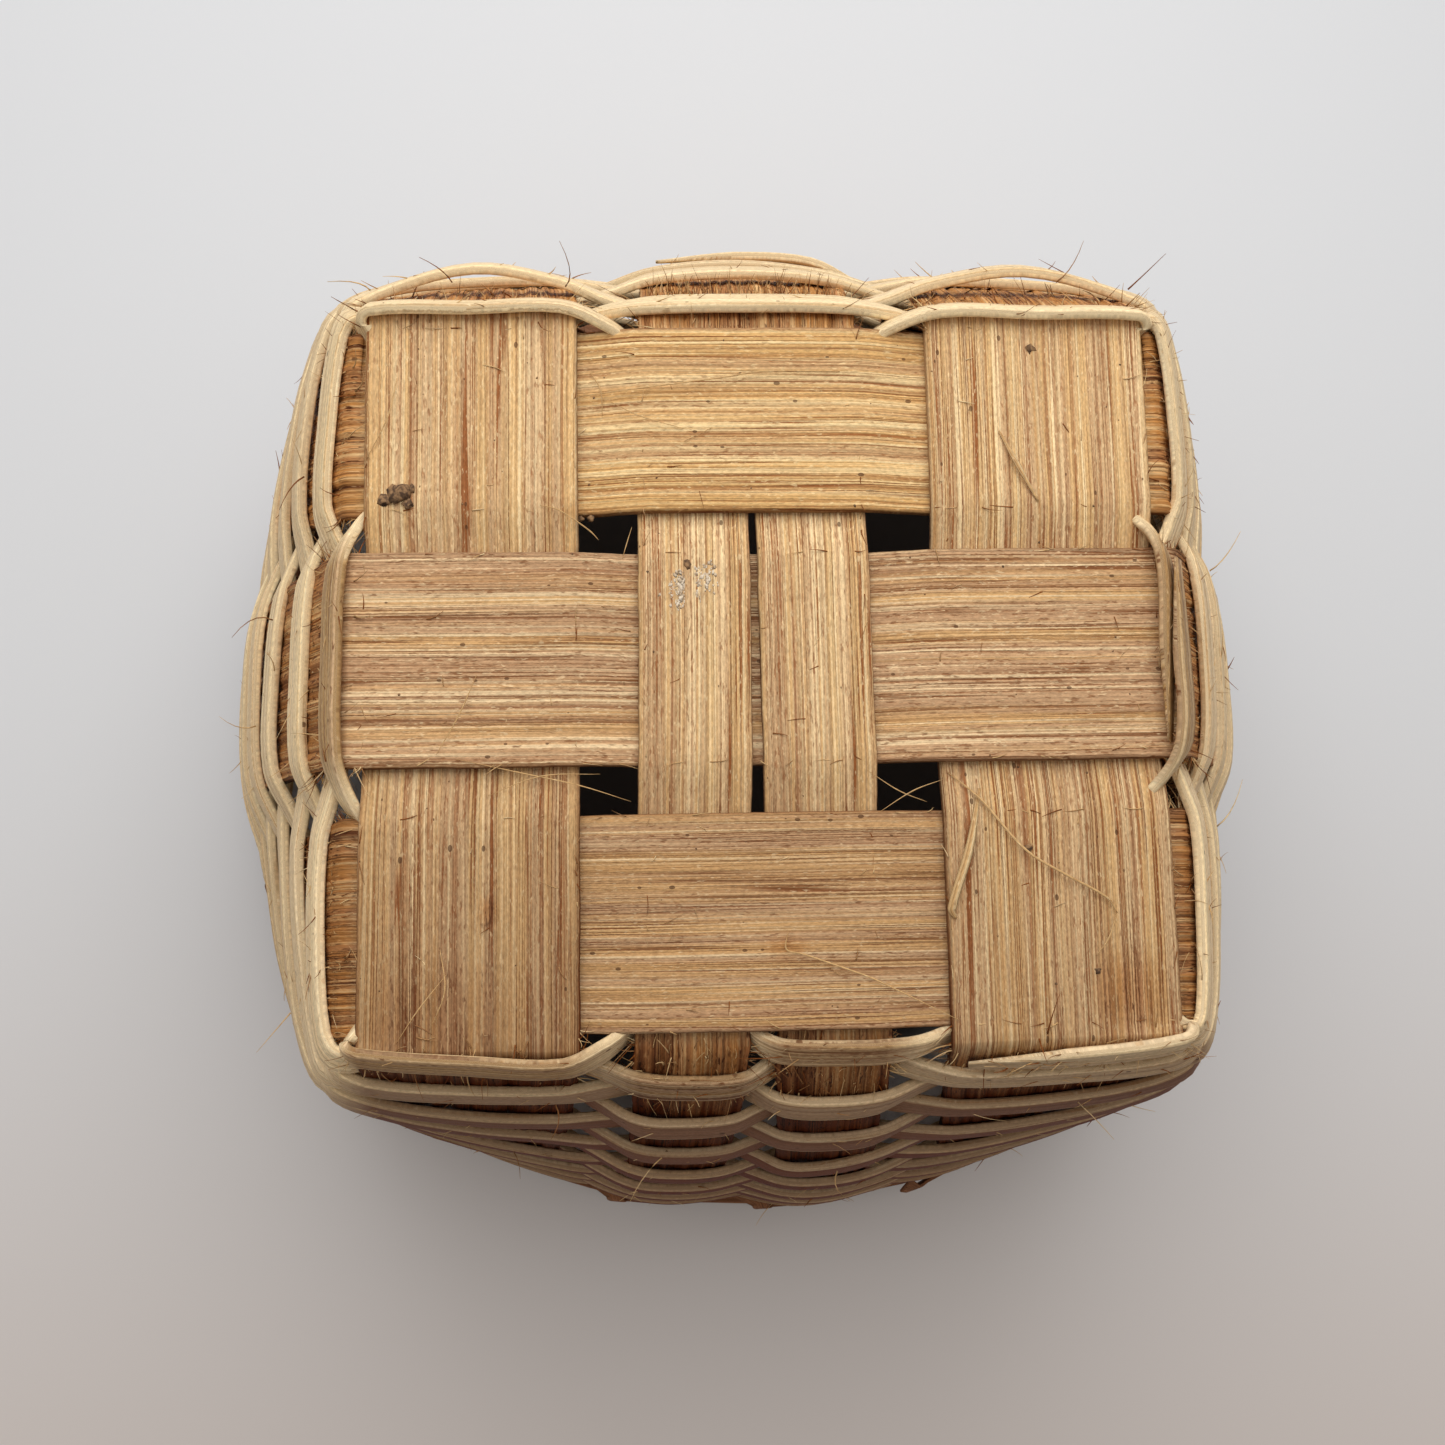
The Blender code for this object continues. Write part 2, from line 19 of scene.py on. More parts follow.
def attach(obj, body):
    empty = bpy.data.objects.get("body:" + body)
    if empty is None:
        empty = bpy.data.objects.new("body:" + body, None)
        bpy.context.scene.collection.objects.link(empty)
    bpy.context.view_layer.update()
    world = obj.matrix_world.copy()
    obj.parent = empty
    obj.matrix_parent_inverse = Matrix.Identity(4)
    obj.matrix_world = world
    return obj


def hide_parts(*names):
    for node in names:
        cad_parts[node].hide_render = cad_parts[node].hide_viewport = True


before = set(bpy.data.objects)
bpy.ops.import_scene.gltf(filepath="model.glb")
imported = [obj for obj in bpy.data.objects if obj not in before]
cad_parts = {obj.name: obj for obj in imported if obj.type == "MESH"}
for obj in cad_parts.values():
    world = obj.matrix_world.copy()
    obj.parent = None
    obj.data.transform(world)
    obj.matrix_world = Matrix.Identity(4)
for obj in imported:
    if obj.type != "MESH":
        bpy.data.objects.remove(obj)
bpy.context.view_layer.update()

MM = 0.001
UV_PER_METRE = 10.0
MERGE = 1e-7
Colour = tuple[float, float, float, float]
log = logging.getLogger("basket")


def shade(code: str) -> Colour:
    """Return a display colour, written as six hexadecimal digits, as linear light.

    Args:
        code: The colour, such as "d2ad7f".

    Returns:
        Red, green, blue and an alpha of 1.
    """
    parts = [int(code[start : start + 2], 16) / 255 for start in (0, 2, 4)]
    linear = [part / 12.92 if part <= 0.04045 else ((part + 0.055) / 1.055) ** 2.4 for part in parts]
    return (linear[0], linear[1], linear[2], 1.0)


class Side(Enum):
    """The face of the wall that a reed lies on."""

    OUTSIDE = 1
    INSIDE = -1


@dataclass
class WallFrame:
    """A place on the wall, with its directions down the wall, round it and outward."""

    place: Vector
    down: Vector
    around: Vector
    outward: Vector


@dataclass
class Wall:
    """The slope of the wall, from the fold at the base's edge to the rim."""

    flare_at_base: float = math.radians(41.0)
    flare_at_rim: float = math.radians(8.0)
    flare_fade: float = 40.0 * MM
    fold_fade: float = 0.8 * MM
    length: float = 78.25 * MM
    step: float = 0.1 * MM
    table: list[tuple[float, float]] = field(default_factory=list)

    def __post_init__(self) -> None:
        """Add up the run outward and the drop along the wall."""
        self.table = [(0.0, 0.0)]
        for count in range(int(self.length * 1.05 / self.step)):
            along = (count + 0.5) * self.step
            settled = self.flare_at_base - self.flare_at_rim
            flare = self.flare_at_rim + settled * math.exp(-along / self.flare_fade)
            flare += (math.pi / 2 - self.flare_at_base) * math.exp(-along / self.fold_fade)
            out, drop = self.table[-1]
            self.table.append((out + self.step * math.sin(flare), drop + self.step * math.cos(flare)))

    def at(self, along: float) -> tuple[float, float]:
        """Return the run outward and the drop at a length along the wall.

        Args:
            along: The length from the fold, in metres. Below zero it lies on the base.

        Returns:
            The run outward and the drop, in metres.
        """
        if along < 0:
            return along, 0.0
        place = min(max(along / self.step, 0.0), len(self.table) - 2.0)
        index = int(place)
        part = place - index
        (out_a, drop_a), (out_b, drop_b) = self.table[index], self.table[index + 1]
        return out_a + (out_b - out_a) * part, drop_a + (drop_b - drop_a) * part


@dataclass
class Upright:
    """One upright: a stake's end, folded down at the base's edge and led to the mouth."""

    foot: Vector
    side_angle: float
    width: float
    level: int
    mouth_angle: float


@dataclass
class StakeLine:
    """A base stake: the middle of its width, its width, and its first crossing's level."""

    centre: float
    width: float
    first_level: int


@dataclass
class BasketForm:
    """The sizes that the basket's reeds share, and the places that follow from them."""

    wall: Wall = field(default_factory=Wall)
    left_width: float = 17.8 * MM
    left_gap: float = 5.3 * MM
    middle_width: float = 18.8 * MM
    right_gap: float = 5.8 * MM
    right_width: float = 18.9 * MM
    top_width: float = 16.2 * MM
    top_gap: float = 3.4 * MM
    centre_width: float = 18.0 * MM
    bottom_gap: float = 4.0 * MM
    bottom_width: float = 17.6 * MM
    stake_thickness: float = 1.1 * MM
    weave_lift: float = 0.7 * MM
    base_height: float = 72.65 * MM
    base_shift: Vector = field(default_factory=lambda: Vector((0.2 * MM, -2.8 * MM, 0.0)))
    fold_margin: float = 0.8 * MM
    level_fade: float = 5.0 * MM
    mouth_half_x: float = 60.7 * MM
    mouth_half_high: float = 56.5 * MM
    mouth_half_low: float = 59.2 * MM
    mouth_power_high: float = 2.6
    mouth_power_low: float = 2.3
    dents: tuple[tuple[float, float, float], ...] = (
        (math.radians(228.0), 2.2 * MM, 8.0),
        (math.radians(340.0), 0.9 * MM, 12.0),
    )
    drift_power: float = 1.5
    rim_from: float = 66.0 * MM
    rim_draw: float = 0.9 * MM
    split_gap: float = 2.2 * MM
    split_start_margin: float = 7.0 * MM
    split_pitch_share: float = 0.62
    crown: float = 0.35 * MM
    crown_run: float = 3.0 * MM
    half_turn_pitches: int = 6
    edge_share: float = 0.33
    along_y: list[StakeLine] = field(default_factory=list)
    along_x: list[StakeLine] = field(default_factory=list)
    uprights: list[Upright] = field(default_factory=list)

    def __post_init__(self) -> None:
        """Lay out the base stakes and the uprights."""
        widths_y = [self.left_width, self.middle_width, self.right_width]
        widths_x = [self.bottom_width, self.centre_width, self.top_width]
        self.size_x = sum(widths_y) + self.left_gap + self.right_gap
        self.size_y = sum(widths_x) + self.bottom_gap + self.top_gap
        self.along_y = self.laid_out(self.size_x, widths_y, [self.left_gap, self.right_gap], 1)
        self.along_x = self.laid_out(self.size_y, widths_x, [self.bottom_gap, self.top_gap], -1)
        self.uprights = self.uprights_in_order()

    def laid_out(self, size: float, widths: list[float], gaps: list[float], level: int) -> list[StakeLine]:
        """Return stakes side by side across a size, centred on zero."""
        lines = []
        edge = -size / 2
        for index, width in enumerate(widths):
            lines.append(StakeLine(edge + width / 2, width, level * (-1) ** index))
            edge += width + (gaps[index] if index < len(gaps) else 0.0)
        return lines

    def uprights_in_order(self) -> list[Upright]:
        """Return the uprights counterclockwise from the right stake's foot, seen from above."""
        left, middle, right = self.along_y
        bottom, centre, top = self.along_x
        half_x = self.size_x / 2 + self.fold_margin
        half_y = self.size_y / 2 + self.fold_margin
        whole_top = math.pi / self.half_turn_pitches
        whole_bottom = math.pi / (self.half_turn_pitches - 1 + 2 * self.split_pitch_share)
        split = whole_bottom * self.split_pitch_share
        low, side, high, back = -math.pi / 2, 0.0, math.pi / 2, math.pi
        down_angle = low + split / 2
        corner = down_angle + (split + whole_bottom) / 2
        half_width = middle.width / 2
        half_centre = (half_width + self.split_gap) / 2

        def made(x: float, y: float, facing: float, width: float, level: int, mouth: float) -> Upright:
            """Return an upright whose foot is at a place in the base's own frame."""
            return Upright(Vector((x, y, 0.0)) + self.base_shift, facing, width, level, mouth)

        return [
            made(right.centre, -half_y, low, right.width, 1, corner),
            made(half_x, bottom.centre, side, bottom.width, -1, -whole_bottom),
            made(half_x, centre.centre, side, centre.width, 1, 0.0),
            made(half_x, top.centre, side, top.width, -1, whole_top),
            made(right.centre, half_y, high, right.width, 1, 2 * whole_top),
            made(middle.centre, half_y, high, middle.width, -1, 3 * whole_top),
            made(left.centre, half_y, high, left.width, 1, 4 * whole_top),
            made(-half_x, top.centre, back, top.width, -1, 5 * whole_top),
            made(-half_x, centre.centre, back, centre.width, 1, math.pi),
            made(-half_x, bottom.centre, back, bottom.width, -1, math.pi + whole_bottom),
            made(left.centre, -half_y, low, left.width, 1, math.pi - corner),
            made(middle.centre - half_centre, -half_y, low, half_width, -1, low - split / 2),
            made(middle.centre + half_centre, -half_y, low, half_width, -1, down_angle),
        ]

    def mouth_point(self, upright: Upright) -> Vector:
        """Return where an upright's middle meets the mouth's outline."""
        x, y = math.cos(upright.mouth_angle), math.sin(upright.mouth_angle)
        half_y, power = self.mouth_side(y)
        size = abs(x / self.mouth_half_x) ** power + abs(y / half_y) ** power
        pressed = sum(
            depth * max(math.cos(upright.mouth_angle - angle), 0.0) ** sharpness
            for angle, depth, sharpness in self.dents
        )
        return Vector((x, y, 0.0)) * (size ** (-1 / power) - pressed)

    def mouth_side(self, y: float) -> tuple[float, float]:
        """Return the mouth's half size along y and its roundness, on the side that y points to."""
        if y > 0:
            return self.mouth_half_high, self.mouth_power_high
        return self.mouth_half_low, self.mouth_power_low

    def mouth_facing(self, upright: Upright) -> float:
        """Return the angle that the mouth's outline faces at an upright."""
        point = self.mouth_point(upright)
        half_y, power = self.mouth_side(point.y)
        x = math.copysign(abs(point.x / self.mouth_half_x) ** (power - 1) / self.mouth_half_x, point.x)
        y = math.copysign(abs(point.y / half_y) ** (power - 1) / half_y, point.y)
        angle = math.atan2(y, x)
        return angle + round((upright.side_angle - angle) / math.tau) * math.tau

    def place(self, upright: Upright, along: float) -> Vector:
        """Return the middle of an upright at a length along the wall."""
        out, drop = self.wall.at(along)
        share = max(out, 0.0) / self.wall.at(self.wall.length)[0]
        straight = Vector((math.cos(upright.side_angle), math.sin(upright.side_angle), 0.0))
        sideways = Vector((-straight.y, straight.x, 0.0))
        run = self.mouth_point(upright) - upright.foot
        place = upright.foot + straight * (run.dot(straight) * share + min(out, 0.0))
        place += sideways * run.dot(sideways) * share**self.drift_power
        drawn = max(along - self.rim_from, 0.0) / (self.wall.length - self.rim_from)
        place -= self.mouth_point(upright).normalized() * self.rim_draw * drawn
        lift = upright.level * self.weave_lift * math.exp(-along / self.level_fade)
        place.z = self.base_height + lift - drop
        return place

    def frame(self, upright: Upright, along: float) -> WallFrame:
        """Return the place and the directions of an upright at a length along the wall."""
        place = self.place(upright, along)
        down = (self.place(upright, along + self.wall.step) - place).normalized()
        share = max(self.wall.at(along)[0], 0.0) / self.wall.at(self.wall.length)[0]
        turned = (self.mouth_facing(upright) - upright.side_angle) * share**self.drift_power
        angle = upright.side_angle + turned
        outward = down.cross(Vector((-math.sin(angle), math.cos(angle), 0.0))).normalized()
        return WallFrame(place, down, outward.cross(down), outward)

    def turn_angle(self, index: int, step: int, along: float) -> float:
        """Return how far the wall turns from one upright to the next one."""
        count = len(self.uprights)
        here = self.frame(self.uprights[index % count], along).outward
        there = self.frame(self.uprights[(index + step) % count], along).outward
        here.z = there.z = 0.0
        return here.angle(there)

    def beside(self, index: int, across: float, along: float, offset: float) -> WallFrame:
        """Return a frame on an upright.

        Args:
            index: The upright's number.
            across: From -1 at one edge to 1 at the other.
            along: The length along the wall, in metres.
            offset: How far outward from the upright's middle, in metres.
        """
        upright = self.uprights[index % len(self.uprights)]
        found = self.frame(upright, along)
        outward = offset + self.crown_at(along) * (0.5 - min(across * across, 1.1))
        found.place = found.place + found.around * across * upright.width / 2 + found.outward * outward
        return found

    def crown_at(self, along: float) -> float:
        """Return how far an upright's middle stands out from its edges at a length along the wall."""
        return self.crown * (1 - math.exp(-max(along, 0.0) / self.crown_run))


@dataclass
class Station:
    """One cross-section of a reed: its place, its directions and its size there."""

    place: Vector
    across: Vector
    outward: Vector
    width: float
    along: float = 0.0
    rough: float = 0.0
    tint: float = 0.0
    thin: float = 1.0
    crown: float = 0.0


@dataclass
class Ring:
    """A reed's outline: points across as shares of the width, each with a height in metres."""

    points: list[tuple[float, float]]

    @classmethod
    def flat(cls, thickness: float, top: int, bottom: int) -> "Ring":
        """Return the outline of a flat reed, with rounded edges."""
        half = thickness / 2
        upper = [(index / top - 0.5, half) for index in range(top + 1)]
        lower = [(0.5 - index / bottom, -half) for index in range(bottom + 1)]
        inset = 0.35 / top
        upper = [(-0.5 + inset, half)] + upper[1:-1] + [(0.5 - inset, half)]
        lower = [(0.5 - inset, -half)] + lower[1:-1] + [(-0.5 + inset, -half)]
        edge = 0.55 * half
        return cls([(-0.5, edge)] + upper + [(0.5, edge), (0.5, -edge)] + lower + [(-0.5, -edge)])

    @classmethod
    def oval(cls, thickness: float) -> "Ring":
        """Return the outline of a flat-oval reed: a flat face between rounded edges."""
        half = ((0.5, 0.0), (0.49, 0.3), (0.45, 0.46), (0.38, 0.5), (0.2, 0.52))
        upper = [(-share, height) for share, height in half] + [(0.0, 0.52)]
        upper += [(share, height) for share, height in reversed(half)]
        lower = [(0.49, -0.3), (0.45, -0.47), (0.15, -0.5), (-0.15, -0.5), (-0.45, -0.47), (-0.49, -0.3)]
        return cls([(share, thickness * height) for share, height in upper + lower])

    @classmethod
    def round(cls, radius: float, sides: int) -> "Ring":
        """Return the outline of a fibre, whose width is twice its radius."""
        turns = [math.tau * index / sides for index in range(sides)]
        return cls([(-0.5 * math.cos(turn), radius * math.sin(turn)) for turn in turns])


@dataclass
class Relief:
    """The grain's ridges as real height on a flat reed's faces."""

    depth: float
    pitch: float
    seed: float
    edge_wander: float = 0.0
    # Painted shade along the edges, narrowed by the power.
    edge_painted_shade: float = 0.0
    edge_power: float = 8.0
    # Painted light on the edges: the share of the tint that they keep, and how much is taken off first.
    edge_share: float = 1.0
    lit_edge_relief: float = 0.0
    fray: float = 0.0
    # The low grooves of frayed parts get darker: partly the frayed reed's darker fibre, partly painted shade in the
    # grooves.
    groove_tint_and_shade: float = 0.2

    def height(self, across: float, along: float) -> float:
        """Return the ridge's height at a place on the face."""
        wave = noise.noise(Vector((across / self.pitch, along / (60 * self.pitch), self.seed)))
        fine = noise.noise(Vector((across / self.pitch * 2.7, along / (30 * self.pitch), self.seed + 7)))
        return self.depth * (wave + 0.5 * fine)

    def wander(self, edge: float, along: float) -> float:
        """Return how far an edge of the reed wanders sideways at a length along it."""
        slow = noise.noise(Vector((edge * 3, along / (4 * MM), self.seed + 3)))
        quick = noise.noise(Vector((edge * 5, along / (1.1 * MM), self.seed + 5)))
        return self.edge_wander * (slow + 0.6 * quick)


def measured(stations: list[Station], start: float = 0.0) -> list[Station]:
    """Give each station its length along the reed, and return them."""
    along = start
    last = stations[0].place
    for station in stations:
        along += (station.place - last).length
        station.along = along
        last = station.place
    return stations


def sweep(
    bm: bmesh.types.BMesh, stations: list[Station], ring: Ring, relief: Relief | None = None, closed: bool = False
) -> None:
    """Add a closed reed to a mesh: a grid that is rolled into a tube along the stations.

    Args:
        bm: The mesh that the reed is added to.
        stations: The cross-sections, in order, with their lengths along the reed.
        ring: The outline of each cross-section.
        relief: Ridges on its faces, and the wander of its edges.
        closed: Whether the last station joins the first one.
    """
    uv_layer = bm.loops.layers.uv.get("reed") or bm.loops.layers.uv.new("reed")
    rough_layer = bm.verts.layers.float.get("rough") or bm.verts.layers.float.new("rough")
    tint_layer = bm.verts.layers.float.get("tint") or bm.verts.layers.float.new("tint")
    columns = len(ring.points)
    rows = len(stations) if closed else len(stations) - 1
    made = bmesh.ops.create_grid(bm, x_segments=columns, y_segments=rows, size=0.5)["verts"]
    spots = {}
    for vert in made:
        spots[vert] = (round((vert.co.x + 0.5) * columns), round((vert.co.y + 0.5) * rows))
    for vert, (column, row) in spots.items():
        station = stations[row % len(stations)]
        share, height = ring.points[column % columns]
        height = height * station.thin + station.crown * (0.5 - (2 * share) ** 2)
        across = share * station.width
        vert[rough_layer] = station.rough
        vert[tint_layer] = station.tint
        if relief is not None:
            frayed = 1 + relief.fray * min(station.rough, 1.0)
            if abs(share) < 0.499:
                ridge = relief.height(across, station.along)
                height += ridge * frayed * math.copysign(1, ring.points[column % columns][1])
                # Darker low grooves: partly the frayed fibre's colour, partly painted shade.
                vert[tint_layer] += (frayed - 1) * relief.groove_tint_and_shade * max(-ridge / relief.depth, 0.0)
            across += relief.wander(math.copysign(1, share), station.along) * frayed * abs(2 * share) ** 6
            # Painted shade along the edges.
            vert[tint_layer] += relief.edge_painted_shade * abs(2 * share) ** relief.edge_power
            # The edges keep less of the tint: painted light on the edges beside the shaded faces.
            if abs(share) > 0.44:
                vert[tint_layer] = max(vert[tint_layer] - relief.lit_edge_relief, 0.0) * relief.edge_share
        vert.co = station.place + station.across * across + station.outward * height
    faces = {face for vert in made for face in vert.link_faces}
    for face in faces:
        for loop in face.loops:
            column, row = spots[loop.vert]
            station = stations[row % len(stations)]
            share = ring.points[column % columns][0]
            over = 0.0 if column < columns and ring.points[column][1] > 0 else 3.1 * station.width
            along = station.along
            if row == len(stations):
                along = stations[-1].along + (stations[0].place - stations[-1].place).length
            loop[uv_layer].uv = ((share * station.width + over) * UV_PER_METRE, along * UV_PER_METRE)
    bmesh.ops.remove_doubles(bm, verts=made, dist=MERGE)
    kept = [vert for vert in made if vert.is_valid]
    if not closed:
        open_edges = list({edge for vert in kept for edge in vert.link_edges if edge.is_boundary})
        bmesh.ops.holes_fill(bm, edges=open_edges, sides=0)


def piece(name: str, bm: bmesh.types.BMesh, slot: str, *nodes: str) -> bpy.types.Object:
    """Make a mesh the basket's piece that stands for some of the frame's nodes.

    Args:
        name: The piece's name.
        bm: Its mesh, which is freed.
        slot: Not used.
        nodes: The nodes that it replaces.

    Returns:
        The new object, riding on the root body.
    """
    bmesh.ops.recalc_face_normals(bm, faces=bm.faces[:])
    for face in bm.faces:
        face.smooth = True
    mesh = bpy.data.meshes.new(name)
    bm.to_mesh(mesh)
    bm.free()
    made = bpy.data.objects.new(name, mesh)
    bpy.context.scene.collection.objects.link(made)
    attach(made, "root")
    if nodes:
        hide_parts(*nodes)
    log.info("%s: %d faces", name, len(mesh.polygons))
    return made


class Bench:
    """Lays nodes out in a tree: values are written, and sockets are linked, in one call."""

    def __init__(self, tree: bpy.types.NodeTree) -> None:
        """Work in a tree."""
        self.tree = tree

    def put(self, kind: str, inputs: dict | None = None, **settings: object) -> bpy.types.Node:
        """Add a node.

        Args:
            kind: The node's type.
            inputs: Values or sockets, by the name or the number of the input.
            settings: The node's own settings.

        Returns:
            The new node.
        """
        node = self.tree.nodes.new(kind)
        for key, value in settings.items():
            setattr(node, key, value)
        for key, value in (inputs or {}).items():
            if isinstance(value, bpy.types.NodeSocket):
                self.tree.links.new(value, node.inputs[key])
            else:
                node.inputs[key].default_value = value
        return node

    def sum(self, operation: str, *values: object) -> bpy.types.NodeSocket:
        """Return the result of a Math node."""
        node = self.put("ShaderNodeMath", dict(enumerate(values)), operation=operation)
        return node.outputs[0]

    def mapped(self, value: object, low: float, high: float, start: float, end: float) -> bpy.types.NodeSocket:
        """Return a value mapped smoothly from low..high to start..end."""
        inputs = {"Value": value, "From Min": low, "From Max": high, "To Min": start, "To Max": end}
        node = self.put("ShaderNodeMapRange", inputs, interpolation_type="SMOOTHSTEP")
        return node.outputs["Result"]

    def mixed(self, share: object, first: object, second: object, blend: str = "MIX") -> bpy.types.NodeSocket:
        """Return a mix of two colours."""
        node = self.put("ShaderNodeMix", None, data_type="RGBA", blend_type=blend)
        for index, value in ((0, share), (6, first), (7, second)):
            if isinstance(value, bpy.types.NodeSocket):
                self.tree.links.new(value, node.inputs[index])
            else:
                node.inputs[index].default_value = value
        return node.outputs[2]

    def streaks(self, place: object, across: float, along: float, shift: float, detail: float) -> bpy.types.NodeSocket:
        """Return noise that is drawn out along the reed, with its scale across and along it."""
        inputs = {0: place, 1: (across, along, 1.0), 2: (shift, shift * 0.7, shift * 0.3)}
        moved = self.put("ShaderNodeVectorMath", inputs, operation="MULTIPLY_ADD").outputs[0]
        inputs = {"Vector": moved, "Scale": 1.0, "Detail": detail, "Roughness": 0.6}
        return self.put("ShaderNodeTexNoise", inputs).outputs["Fac"]


def reed_grain() -> bpy.types.NodeTree:
    """Return the node group that streaks a reed along its length, built on first use."""
    known = bpy.data.node_groups.get("reed grain")
    if known:
        return known
    tree = bpy.data.node_groups.new("reed grain", "ShaderNodeTree")
    for name, kind in (
        ("Place", "NodeSocketVector"),
        ("Pith", "NodeSocketColor"),
        ("Fibre", "NodeSocketColor"),
        ("Shine", "NodeSocketColor"),
        ("Groove", "NodeSocketColor"),
        ("Groove Depth", "NodeSocketFloat"),
        ("Fuzz", "NodeSocketFloat"),
    ):
        tree.interface.new_socket(name, in_out="INPUT", socket_type=kind)
    for name, kind in (("Color", "NodeSocketColor"), ("Height", "NodeSocketFloat")):
        tree.interface.new_socket(name, in_out="OUTPUT", socket_type=kind)
    bench = Bench(tree)
    given = bench.put("NodeGroupInput").outputs
    wander = bench.sum("SUBTRACT", bench.streaks(given["Place"], 0.25, 0.03, 3.0, 1.0), 0.5)
    jitter = bench.sum("SUBTRACT", bench.streaks(given["Place"], 5.0, 2.2, 9.0, 2.0), 0.5)
    jitter = bench.sum("MULTIPLY", jitter, given["Fuzz"])
    shift = bench.sum("MULTIPLY_ADD", wander, 0.5, bench.sum("MULTIPLY", jitter, 0.07))
    shift_vector = bench.put("ShaderNodeCombineXYZ", {0: shift}).outputs[0]
    place = bench.put("ShaderNodeVectorMath", {0: given["Place"], 1: shift_vector}).outputs[0]
    bands = bench.streaks(place, 0.75, 0.006, 20.0, 3.0)
    lines = bench.streaks(place, 3.3, 0.011, 40.0, 3.0)
    threads = bench.streaks(place, 7.0, 0.03, 60.0, 2.0)
    wide_groove = bench.sum("ABSOLUTE", bench.sum("SUBTRACT", bench.streaks(place, 1.5, 0.008, 80.0, 1.0), 0.5))
    thin_groove = bench.sum("ABSOLUTE", bench.sum("SUBTRACT", bench.streaks(place, 2.8, 0.012, 90.0, 1.0), 0.47))
    wide_mask = bench.mapped(wide_groove, 0.004, 0.024, 1.0, 0.0)
    thin_mask = bench.mapped(thin_groove, 0.004, 0.03, 0.95, 0.0)
    groove = bench.sum("MAXIMUM", wide_mask, thin_mask)
    broken = bench.mapped(bench.streaks(place, 0.9, 0.05, 110.0, 2.0), 0.38, 0.6, 0.25, 1.0)
    groove = bench.sum("MULTIPLY", bench.sum("MULTIPLY", groove, broken), given["Groove Depth"])
    band_mask = bench.mapped(bands, 0.4, 0.58, 0.0, 1.0)
    pithy = bench.sum("SUBTRACT", 1.0, bench.sum("MULTIPLY", band_mask, 0.65))
    fuzz = bench.streaks(given["Place"], 6.5, 2.2, 130.0, 3.0)
    dashes = bench.mapped(bench.streaks(given["Place"], 4.6, 0.9, 150.0, 2.0), 0.57, 0.68, 0.0, 0.6)
    dashes = bench.sum("MULTIPLY", dashes, bench.sum("MULTIPLY", pithy, given["Fuzz"]))
    glints = bench.mapped(bench.streaks(given["Place"], 5.2, 1.3, 170.0, 2.0), 0.59, 0.7, 0.0, 0.55)
    colour = bench.mixed(band_mask, given["Pith"], given["Fibre"])
    colour = bench.mixed(bench.mapped(lines, 0.5, 0.66, 0.0, 0.95), colour, given["Shine"])
    colour = bench.mixed(bench.mapped(lines, 0.46, 0.32, 0.0, 0.6), colour, given["Groove"])
    colour = bench.mixed(groove, colour, given["Groove"])
    colour = bench.mixed(dashes, colour, given["Groove"])
    colour = bench.mixed(glints, colour, given["Shine"])
    fuzz_level = bench.mapped(fuzz, 0.3, 0.7, 0.84, 1.14)
    level = bench.sum("MULTIPLY", bench.mapped(threads, 0.32, 0.68, 0.86, 1.12), fuzz_level)
    level_colour = bench.put("ShaderNodeCombineColor", {0: level, 1: level, 2: level}).outputs[0]
    colour = bench.mixed(1.0, colour, level_colour, "MULTIPLY")
    pores = bench.put("ShaderNodeVectorMath", {0: given["Place"], 1: (0.75, 0.45, 1.0)}, operation="MULTIPLY").outputs[0]
    cells = bench.put("ShaderNodeTexVoronoi", {"Vector": pores, "Scale": 1.0, "Randomness": 1.0})
    chosen = bench.put("ShaderNodeSeparateColor", {0: cells.outputs["Color"]}).outputs[0]
    size = bench.mapped(chosen, 0.35, 1.0, 0.0, 0.13)
    pore = bench.sum("LESS_THAN", cells.outputs["Distance"], size)
    colour = bench.mixed(bench.sum("MULTIPLY", pore, 0.75), colour, shade("5a3a22"))
    height = bench.sum("MULTIPLY_ADD", lines, 0.9, bench.sum("MULTIPLY", bands, 0.8))
    height = bench.sum("MULTIPLY_ADD", threads, 0.3, height)
    height = bench.sum("MULTIPLY_ADD", fuzz, 0.35, height)
    height = bench.sum("MULTIPLY_ADD", groove, -0.6, height)
    height = bench.sum("MULTIPLY_ADD", dashes, -0.4, height)
    height = bench.sum("MULTIPLY_ADD", pore, -0.25, height)
    bench.put("NodeGroupOutput", {"Color": colour, "Height": height})
    return tree


@dataclass(frozen=True)
class ReedTone:
    """The colours of one face of a reed."""

    pith: str
    fibre: str
    shine: str
    groove: str
    groove_depth: float
    fuzz: float


